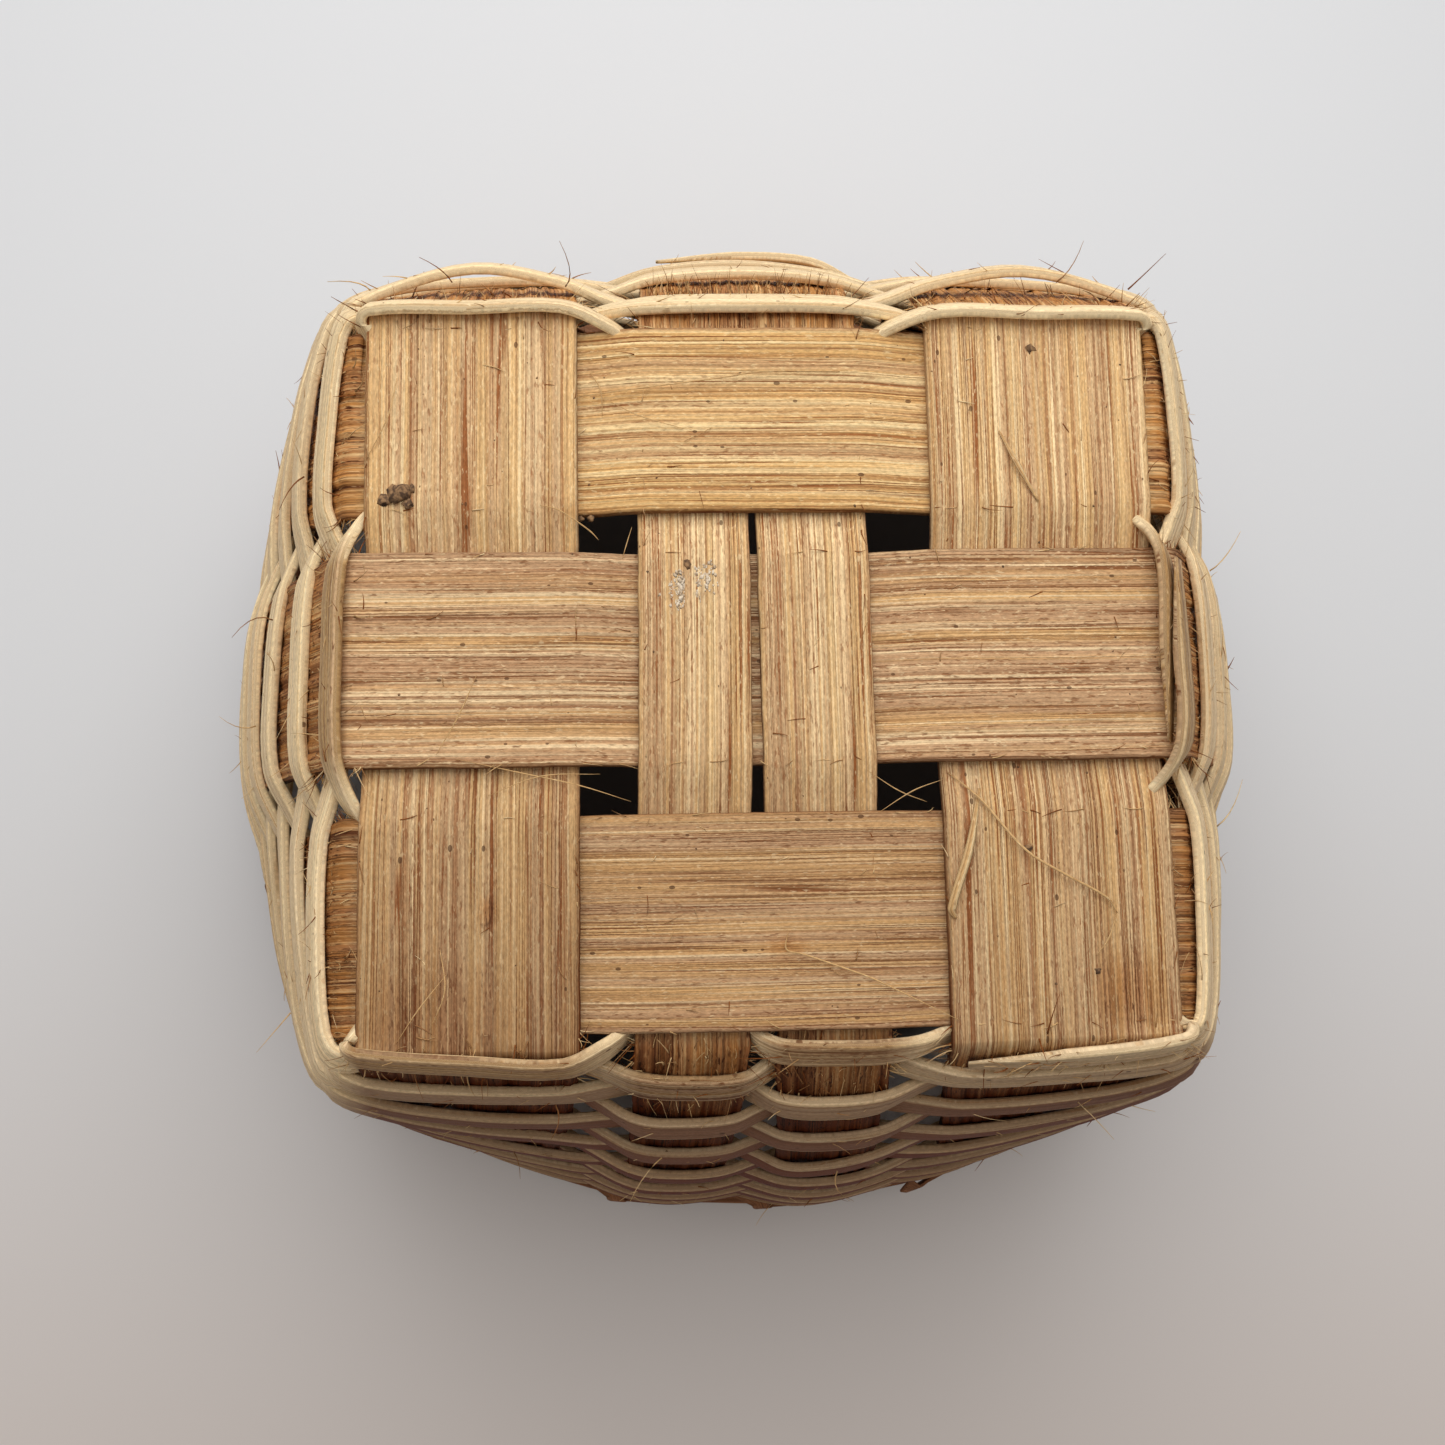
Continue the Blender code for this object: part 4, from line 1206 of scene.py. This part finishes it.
@dataclass
class LooseFibres:
    """The fibres that have come loose from the reeds, and the hairs and splinters that stand off."""

    form: BasketForm
    stakes: Stakes
    weave: Weave
    seed: int = 11
    fringe_count: int = 34
    fray_count: int = 60
    fuzz_count: int = 620
    base_count: int = 260
    tuft_upright: int = 5
    tuft_count: int = 130
    radius: float = 0.065 * MM
    segments: int = 5
    bundle_size: int = 40
    splinters: tuple[Splinter, ...] = (
        Splinter(((15.0, -8.9), (17.4, -11.2), (20.9, -15.5), (24.2, -17.6), (27.5, -19.5), (28.3, -20.7)), 0.22),
        Splinter(((28.3, -20.7), (27.3, -22.8), (26.4, -24.1)), 0.14),
        Splinter(((17.5, -10.3), (16.2, -15.4), (14.6, -20.1), (15.0, -20.9)), 0.75, 0.6, True),
        Splinter(((-18.6, 13.9), (-17.2, 13.5), (-15.9, 12.7), (-14.4, 11.8), (-13.8, 11.2)), 0.12),
        Splinter(((-11.8, 9.5), (-11.5, 10.5), (-11.0, 12.3)), 0.1),
        Splinter(((-15.6, 23.3), (-10.2, 24.0), (-2.7, 24.9), (0.0, 25.4), (6.9, 25.5)), 0.14),
        Splinter(((-14.4, 25.8), (-13.5, 24.0), (-13.4, 21.9)), 0.14),
        Splinter(((-12.7, 23.1), (-10.2, 21.5), (-6.5, 20.5)), 0.12),
        Splinter(((-6.5, 19.4), (-4.1, 20.6)), 0.14),
        Splinter(((1.3, -21.7), (1.1, -23.1), (2.4, -23.5), (6.3, -24.9), (8.1, -25.6), (14.9, -29.0)), 0.14),
        Splinter(((4.5, -24.5), (5.4, -25.3)), 0.12),
        Splinter(((-25.5, -7.3), (-20.2, -8.5), (-15.4, -9.6), (-11.3, -10.9)), 0.1, 0.9),
        Splinter(((-22.9, -10.3), (-18.6, -8.8), (-13.8, -8.6)), 0.1, 0.8),
        Splinter(((9.0, -12.2), (12.0, -10.4), (14.5, -9.5)), 0.1, 0.6),
        Splinter(((8.2, -8.7), (10.8, -10.4), (13.2, -11.3)), 0.1, 0.7),
        Splinter(((-30.0, -29.9), (-28.2, -27.3), (-26.1, -24.6)), 0.1, 0.7),
        Splinter(((-27.3, -28.8), (-26.1, -25.8), (-26.6, -22.6)), 0.12, 0.7),
        Splinter(((-23.8, -0.4), (-25.1, -3.7), (-27.0, -6.9)), 0.12, 0.6),
        Splinter(((20.4, 20.2), (21.7, 17.2), (23.5, 14.0)), 0.5, 0.4, True),
        Splinter(((-33.0, 18.0), (-31.2, 21.5), (-30.6, 25.0)), 0.14, 0.5),
    )
    hairs: tuple[Hair, ...] = (
        Hair(6, 0.95, 1.5, 2.4, (0.5, 0.8, -0.1), (0.9, -0.5, 0.0)),
        Hair(6, -0.9, 2.0, 3.0, (-0.6, 0.6, -0.2), (0.8, 0.6, 0.0)),
        Hair(6, 0.2, 4.0, 2.6, (0.4, 0.8, 0.0), (0.6, -0.1, 0.3)),
        Hair(4, -0.9, 2.0, 2.6, (-0.6, 0.6, 0.0), (-0.5, 0.4, 0.4)),
        Hair(4, -0.3, 5.0, 3.4, (-0.8, 0.5, 0.1), (0.2, 0.5, 0.1)),
        Hair(14, 0.9, 8.0, 3.6, (0.5, 0.7, 0.1), (0.6, -0.2, 0.1)),
        Hair(2, 0.9, 8.0, 3.0, (0.4, 0.9, 0.0), (0.7, 0.0, 0.2)),
        Hair(8, 0.4, 20.0, 3.2, (0.4, 0.8, 0.0), (-0.7, 0.1, 0.2)),
        Hair(8, -0.6, 14.0, 3.8, (-0.4, 0.9, 0.0), (0.9, 0.0, 0.0)),
        Hair(22, 0.7, 16.0, 3.0, (0.6, 0.6, 0.0), (0.3, 0.3, 0.1)),
        Hair(12, 0.2, 26.0, 3.6, (-0.5, 0.8, 0.0), (0.8, -0.1, 0.2)),
        Hair(24, -0.4, 20.0, 4.0, (-0.8, 0.6, 0.1), (0.1, 0.3, 0.2)),
        Hair(10, 0.8, 8.0, 3.0, (0.5, 0.8, 0.0), (-0.6, 0.1, 0.0)),
        Hair(0, 0.2, 12.0, 3.4, (0.6, 0.7, 0.1), (0.1, 0.2, 0.2)),
        Hair(20, 0.5, 7.0, 2.8, (0.5, 0.8, -0.1), (0.6, -0.2, 0.2)),
    )

    def build(self) -> None:
        """Build and dress the fibres, by where they come loose."""
        self.chance = random.Random(self.seed)
        for name, grow, slot in (
            ("loose_fibres_at_folds", self.grow_at_folds, "stake_left_reed"),
            ("loose_fibres_of_weave", self.grow_on_weave, "weaver_second_length_reed"),
            ("loose_fibres_on_base", self.grow_on_base, "stake_right_reed"),
            ("loose_splinters", self.lay_splinters, "stake_right_reed"),
            ("loose_hairs", self.grow_hairs, "weaver_second_length_reed"),
        ):
            bm = bmesh.new()
            self.strands = []
            grow()
            self.bundle(bm)
            made = piece(name, bm, slot)
            ReedFinish(name + "_finish", FIBRE_TONE, FIBRE_TONE, 12.0, 0.6, 0.1, "9c6a3e").dress(made)

    def bundle(self, bm: bmesh.types.BMesh) -> None:
        """Sweep the fibres that were laid out, some at a time, and gather them in one mesh."""
        for start in range(0, len(self.strands), self.bundle_size):
            part = bmesh.new()
            for stations, ring in self.strands[start : start + self.bundle_size]:
                sweep(part, stations, ring)
            mesh = bpy.data.meshes.new("fibres")
            part.to_mesh(mesh)
            part.free()
            bm.from_mesh(mesh)
            bpy.data.meshes.remove(mesh)

    def whisker(self, root: Vector, heading: Vector, bend: Vector, length: float, radius: float) -> None:
        """Lay out a tapered fibre.

        Args:
            root: Where it starts.
            heading: The way that it starts off.
            bend: How far it has turned aside at its tip, as a share of its length.
            length: Its length.
            radius: Half of its thickness at the root.
        """
        stations = []
        tint = 1.3 * self.chance.random() ** 1.5
        start = heading.normalized()
        for step in range(self.segments + 1):
            share = step / self.segments
            spot = root + (start * share + bend * share * share) * length
            tangent = (start + bend * 2 * share).normalized()
            across = tangent.orthogonal().normalized()
            thin = 1 - 0.75 * share
            station = Station(spot, across, across.cross(tangent), 2 * radius * thin, 0.0, 0.0, tint, thin)
            stations.append(station)
        self.strands.append((measured(stations, self.chance.random()), Ring.round(radius, 4)))

    def spread(self, most: float) -> float:
        """Return a chance value from minus most to most."""
        return self.chance.uniform(-most, most)

    def sideways(self, most: float) -> Vector:
        """Return a chance bend."""
        return Vector((self.spread(most), self.spread(most), self.spread(most)))

    def grow_at_folds(self) -> None:
        """Fray the uprights' edges and faces by the fold, where the reed has cracked."""
        chance = self.chance
        for upright in self.form.uprights:
            for count in range(self.fringe_count * 2):
                side = 1 if count % 2 else -1
                along = chance.uniform(-1.2, 6.0) * MM
                found = self.form.frame(upright, along)
                root = found.place + found.around * side * (upright.width / 2 - 0.15 * MM)
                root += found.outward * self.spread(0.4) * MM
                heading = found.around * side * chance.uniform(0.3, 1.0) + found.outward * self.spread(0.5)
                heading += found.down * chance.uniform(-0.4, 0.9)
                length = chance.uniform(0.6, 1.2 + 2.4 * chance.random()) * MM
                self.whisker(root, heading, self.sideways(0.45), length, self.radius * chance.uniform(0.6, 1.3))
            for _ in range(self.fray_count):
                found = self.form.frame(upright, chance.uniform(-0.6, 9.0) * MM)
                root = found.place + found.around * self.spread(0.48) * upright.width
                root += found.outward * (self.form.stake_thickness / 2 - 0.05 * MM)
                heading = found.down * chance.choice((-1, 1)) + found.outward * chance.uniform(0.15, 0.6)
                heading += found.around * self.spread(0.35)
                length = chance.uniform(0.8, 3.0) * MM
                self.whisker(root, heading, self.sideways(0.35), length, self.radius * chance.uniform(0.6, 1.4))
        self.grow_tuft(self.form.uprights[self.tuft_upright])

    def grow_tuft(self, upright: Upright) -> None:
        """Stand a dense row of cracked fibres off one upright, between its first rows."""
        for _ in range(self.tuft_count):
            found = self.form.frame(upright, self.chance.uniform(2.5, 7.0) * MM)
            root = found.place + found.around * self.spread(0.46) * upright.width
            root += found.outward * self.form.stake_thickness / 2
            heading = found.outward + found.around * self.spread(0.25) - found.down * self.chance.uniform(0.0, 0.5)
            length = self.chance.uniform(1.2, 2.6) * MM
            self.whisker(root, heading, self.sideways(0.25), length, self.radius * self.chance.uniform(0.6, 1.2))

    def grow_on_weave(self) -> None:
        """Raise short fibres from the strand, most of them in its upper rows."""
        chance = self.chance
        last = self.weave.rows * len(self.form.uprights)
        for _ in range(self.fuzz_count):
            number = 2 * int(last / 2 * chance.random() ** 1.6)
            station = self.weave.control(number, self.spread(1.0), 0.0)
            edge = self.spread(0.5)
            root = station.place + station.across * edge * station.width
            root += station.outward * self.weave.thickness * (0.45 - 0.9 * abs(edge))
            round_wall = station.outward.cross(station.across) * chance.choice((-1, 1))
            heading = round_wall + station.outward * chance.uniform(0.05, 0.7) + station.across * edge * 1.2
            length = chance.uniform(0.7, 1.4 + 2.2 * chance.random() ** 2) * MM
            self.whisker(root, heading, self.sideways(0.35), length, self.radius * chance.uniform(0.6, 1.3))

    def grow_on_base(self) -> None:
        """Lift short fibres from the base stakes' faces and edges."""
        chance = self.chance
        for _ in range(self.base_count):
            line = chance.choice(self.form.along_y + self.form.along_x)
            runs_along_y = line in self.form.along_y
            aside = line.centre + chance.choice((self.spread(0.5), 0.49, -0.49)) * line.width
            place = self.spread(0.49) * (self.form.size_y if runs_along_y else self.form.size_x)
            x, y = (aside, place) if runs_along_y else (place, aside)
            root = Vector((x, y, 0.0)) + self.form.base_shift
            root.z = self.stakes.top_at(x, y) - 0.02 * MM
            run = Vector((0.0, 1.0, 0.0)) if runs_along_y else Vector((1.0, 0.0, 0.0))
            heading = run * chance.choice((-1, 1)) + Vector((self.spread(0.5), self.spread(0.5), chance.uniform(0.05, 0.3)))
            bend = Vector((self.spread(0.3), self.spread(0.3), -0.1))
            length = chance.uniform(0.4, 1.8) * MM
            self.whisker(root, heading, bend, length, self.radius * chance.uniform(0.5, 1.2))

    def lay_splinters(self) -> None:
        """Lay the splinters and long fibres that the photograph shows on the base."""
        for splinter in self.splinters:
            controls = []
            last = len(splinter.path) - 1
            for index, (x, y) in enumerate(splinter.path):
                spot = Vector((x * MM, y * MM, 0.0)) + self.form.base_shift
                lifted = splinter.rise * math.sin(math.pi * index / last) + 0.12
                spot.z = self.stakes.top_at(x * MM, y * MM) + lifted * MM
                width = splinter.width * MM * (0.35 if index in (0, last) else 1.0)
                controls.append(Station(spot, Vector((1, 0, 0)), Vector((0, 0, 1)), width, 0.0, 0.0, 0.1))
            thickness = (0.12 if splinter.flat else splinter.width * 0.5) * MM
            self.strands.append((measured(smoothed(controls, 6)), Ring.round(thickness / 2, 6)))

    def grow_hairs(self) -> None:
        """Stand the long hairs off the wall."""
        for hair in self.hairs:
            found = self.form.beside(hair.number, hair.across, hair.drop * MM, self.form.stake_thickness)
            ways = (found.around, found.outward, found.down)
            heading = sum((way * share for way, share in zip(ways, hair.heading)), Vector())
            bend = sum((way * share for way, share in zip(ways, hair.bend)), Vector())
            root = found.place + found.outward * self.weave.thickness
            self.whisker(root, heading, bend, hair.length * MM, self.radius * 1.3)


@dataclass(frozen=True)
class DebrisFinish:
    """The finish of a speck of dirt or dust."""

    name: str
    light: str
    dark: str

    def dress(self, target: bpy.types.Object) -> None:
        """Give a piece this finish."""
        made = bpy.data.materials.new(self.name)
        made.use_nodes = True
        bench = Bench(made.node_tree)
        shader = made.node_tree.nodes["Principled BSDF"]
        place = bench.put("ShaderNodeTexCoord").outputs["Object"]
        grit = bench.put("ShaderNodeTexNoise", {"Vector": place, "Scale": 2500.0, "Detail": 3.0}).outputs["Fac"]
        colour = bench.mixed(bench.mapped(grit, 0.35, 0.65, 0.0, 1.0), shade(self.dark), shade(self.light))
        made.node_tree.links.new(colour, shader.inputs["Base Color"])
        shader.inputs["Roughness"].default_value = 0.9
        target.data.materials.clear()
        target.data.materials.append(made)


@dataclass
class Debris:
    """The lump and the specks of dirt on the base, and the dust smeared on the split stake."""

    form: BasketForm
    stakes: Stakes
    seed: int = 5
    lumps: tuple[tuple[float, float, float], ...] = (
        (-30.3, 15.0, 0.9),
        (-31.4, 14.4, 0.5),
        (-29.6, 14.1, 0.45),
        (-29.3, 15.4, 0.35),
        (23.4, 27.6, 0.4),
        (21.2, -15.3, 0.35),
        (-15.3, 13.1, 0.25),
        (-14.4, 13.1, 0.3),
        (26.5, -25.3, 0.25),
        (-6.4, 8.7, 0.35),
    )
    speck_count: int = 60
    dust_count: int = 420
    dust_x: tuple[float, float] = (-9.0, -3.6)
    dust_y: tuple[float, float] = (5.2, 9.0)

    def build(self) -> None:
        """Build and dress the dirt and the dust."""
        chance = random.Random(self.seed)
        bm = bmesh.new()
        for x, y, radius in self.lumps:
            self.speck(bm, x * MM, y * MM, radius * MM, 2)
        for _ in range(self.speck_count):
            x, y = chance.uniform(-0.48, 0.48) * self.form.size_x, chance.uniform(-0.48, 0.48) * self.form.size_y
            self.speck(bm, x, y, chance.uniform(0.05, 0.12) * MM, 1)
        made = piece("base_dirt", bm, "stake_left_reed")
        DebrisFinish("dirt_finish", "9a7752", "4a3422").dress(made)
        bm = bmesh.new()
        for _ in range(self.dust_count):
            x = chance.triangular(*self.dust_x) * MM
            y = chance.triangular(*self.dust_y) * MM + 0.35 * (x + 6.0 * MM)
            self.speck(bm, x, y, chance.uniform(0.04, 0.16) * MM, 1, 0.12)
        made = piece("base_dust", bm, "stake_middle_split_reed")
        DebrisFinish("dust_finish", "e2d2ba", "b89f80").dress(made)

    def speck(
        self, bm: bmesh.types.BMesh, x: float, y: float, radius: float, detail: int, flatness: float = 0.55
    ) -> None:
        """Add an uneven, flattened grain to a mesh, on the base's upper face."""
        made = bmesh.ops.create_icosphere(bm, subdivisions=detail, radius=radius)["verts"]
        spot = Vector((x, y, 0.0)) + self.form.base_shift
        spot.z = self.stakes.top_at(x, y)
        for vert in made:
            bump = 1 + 0.9 * noise.noise(vert.co / radius * 1.3 + spot * 900)
            vert.co = vert.co * bump
            vert.co.y *= 1.6 - flatness
            vert.co.z *= flatness
            vert.co += spot


@dataclass
class Studio:
    """The pale floor, the soft lamps and the camera."""

    lens: float = 34.65
    sensor: float = 36.0
    tip: float = math.radians(-7.6)
    lean: float = math.radians(-2.5)
    roll: float = math.radians(-0.74)
    distance: float = 115.2 * MM
    aim_x: float = 3.6 * MM
    aim_y: float = -4.6 * MM
    base_top: float = 73.9 * MM
    floor_reach: float = 1.5
    bright_way: tuple[float, float, float] = (0.0, 0.6, 0.8)
    room_level: float = 0.32
    room_contrast: float = 0.52

    def build(self, form: BasketForm) -> None:
        """Set up the floor, the lamps, the world and the camera."""
        self.floor()
        self.lamp("window", (0.0, 0.17, 0.28), 0.3, 0.64, (0.97, 0.98, 1.0))
        self.world()
        self.camera(form)
        bpy.context.scene.view_settings.view_transform = "Standard"

    def floor(self) -> None:
        """Make the pale floor that the basket stands on, with painted shade: darker and warmer toward -Y, and dark
        under the basket.
        """
        bm = bmesh.new()
        bmesh.ops.create_grid(bm, x_segments=1, y_segments=1, size=self.floor_reach)
        mesh = bpy.data.meshes.new("floor")
        bm.to_mesh(mesh)
        bm.free()
        floor = bpy.data.objects.new("floor", mesh)
        bpy.context.scene.collection.objects.link(floor)
        made = bpy.data.materials.new("floor_white")
        made.use_nodes = True
        bench = Bench(made.node_tree)
        shader = made.node_tree.nodes["Principled BSDF"]
        place = bench.put("ShaderNodeTexCoord").outputs["Object"]
        # Painted shade: the floor is darker and warmer toward -Y.
        height = bench.put("ShaderNodeSeparateXYZ", {0: place}).outputs[1]
        share = bench.mapped(height, -0.13, 0.02, 0.0, 1.0)
        colour = bench.mixed(share, shade("cdc4be"), shade("d9dcdf"))
        # Painted shade: a dark patch under the basket, seen only through the gaps in the weave.
        away = bench.put("ShaderNodeVectorMath", {0: place}, operation="LENGTH").outputs["Value"]
        shade_under_basket = bench.mapped(away, 0.044, 0.053, 1.0, 0.0)
        colour = bench.mixed(shade_under_basket, colour, shade("4a4542"))
        made.node_tree.links.new(colour, shader.inputs["Base Color"])
        shader.inputs["Roughness"].default_value = 0.9
        shader.inputs["Specular IOR Level"].default_value = 0.1
        mesh.materials.append(made)

    def lamp(self, name: str, place: tuple, size: float, power: float, colour: tuple) -> None:
        """Add a soft square lamp that faces the basket."""
        light = bpy.data.lights.new(name, "AREA")
        light.shape = "SQUARE"
        light.size = size
        light.energy = power
        light.color = colour
        made = bpy.data.objects.new(name, light)
        made.location = place
        made.visible_camera = False
        aim = Vector((0.0, 0.0, 0.05)) - Vector(place)
        made.rotation_euler = aim.to_track_quat("-Z", "Y").to_euler()
        bpy.context.scene.collection.objects.link(made)

    def world(self) -> None:
        """Fill the shadows with a plain soft light."""
        world = bpy.data.worlds.new("soft_room")
        world.use_nodes = True
        bench = Bench(world.node_tree)
        background = world.node_tree.nodes["Background"]
        way = bench.put("ShaderNodeTexCoord").outputs["Generated"]
        toward = bench.put("ShaderNodeVectorMath", {0: way, 1: self.bright_way}, operation="DOT_PRODUCT")
        strength = bench.sum("MULTIPLY_ADD", toward.outputs["Value"], self.room_contrast, self.room_level)
        world.node_tree.links.new(strength, background.inputs["Strength"])
        background.inputs["Color"].default_value = (1.0, 0.94, 0.89, 1.0)
        bpy.context.scene.world = world

    def camera(self, form: BasketForm) -> None:
        """Place the camera as the photograph's, by its turn and its distance from the base."""
        turn = (
            Matrix.Rotation(self.roll, 3, "Z")
            @ Matrix.Rotation(self.lean, 3, "Y")
            @ Matrix.Rotation(self.tip, 3, "X")
        )
        centre = -(turn.transposed() @ Vector((self.aim_x, self.aim_y, self.distance)))
        right = Vector((turn[0][0], -turn[0][1], -turn[0][2]))
        up = Vector((-turn[1][0], turn[1][1], turn[1][2]))
        ahead = Vector((turn[2][0], -turn[2][1], -turn[2][2]))
        place = Vector((centre.x, -centre.y, self.base_top - centre.z)) + form.base_shift
        data = bpy.data.cameras.new("camera")
        data.lens = self.lens
        data.sensor_width = self.sensor
        data.clip_start = 1 * MM
        made = bpy.data.objects.new("camera", data)
        bpy.context.scene.collection.objects.link(made)
        basis = Matrix((right, up, -ahead)).transposed().to_4x4()
        made.matrix_world = Matrix.Translation(place) @ basis
        bpy.context.scene.camera = made


def main() -> None:
    """Build the basket's pieces and the studio."""
    logging.basicConfig(level=logging.INFO, format="%(name)s: %(message)s")
    form = BasketForm()
    Stakes(form).build()
    Weave(form).build()
    Rim(form).build()
    stakes, weave = Stakes(form), Weave(form)
    LooseFibres(form, stakes, weave).build()
    Debris(form, stakes).build()
    Studio().build(form)


if __name__ == "__main__":
    main()
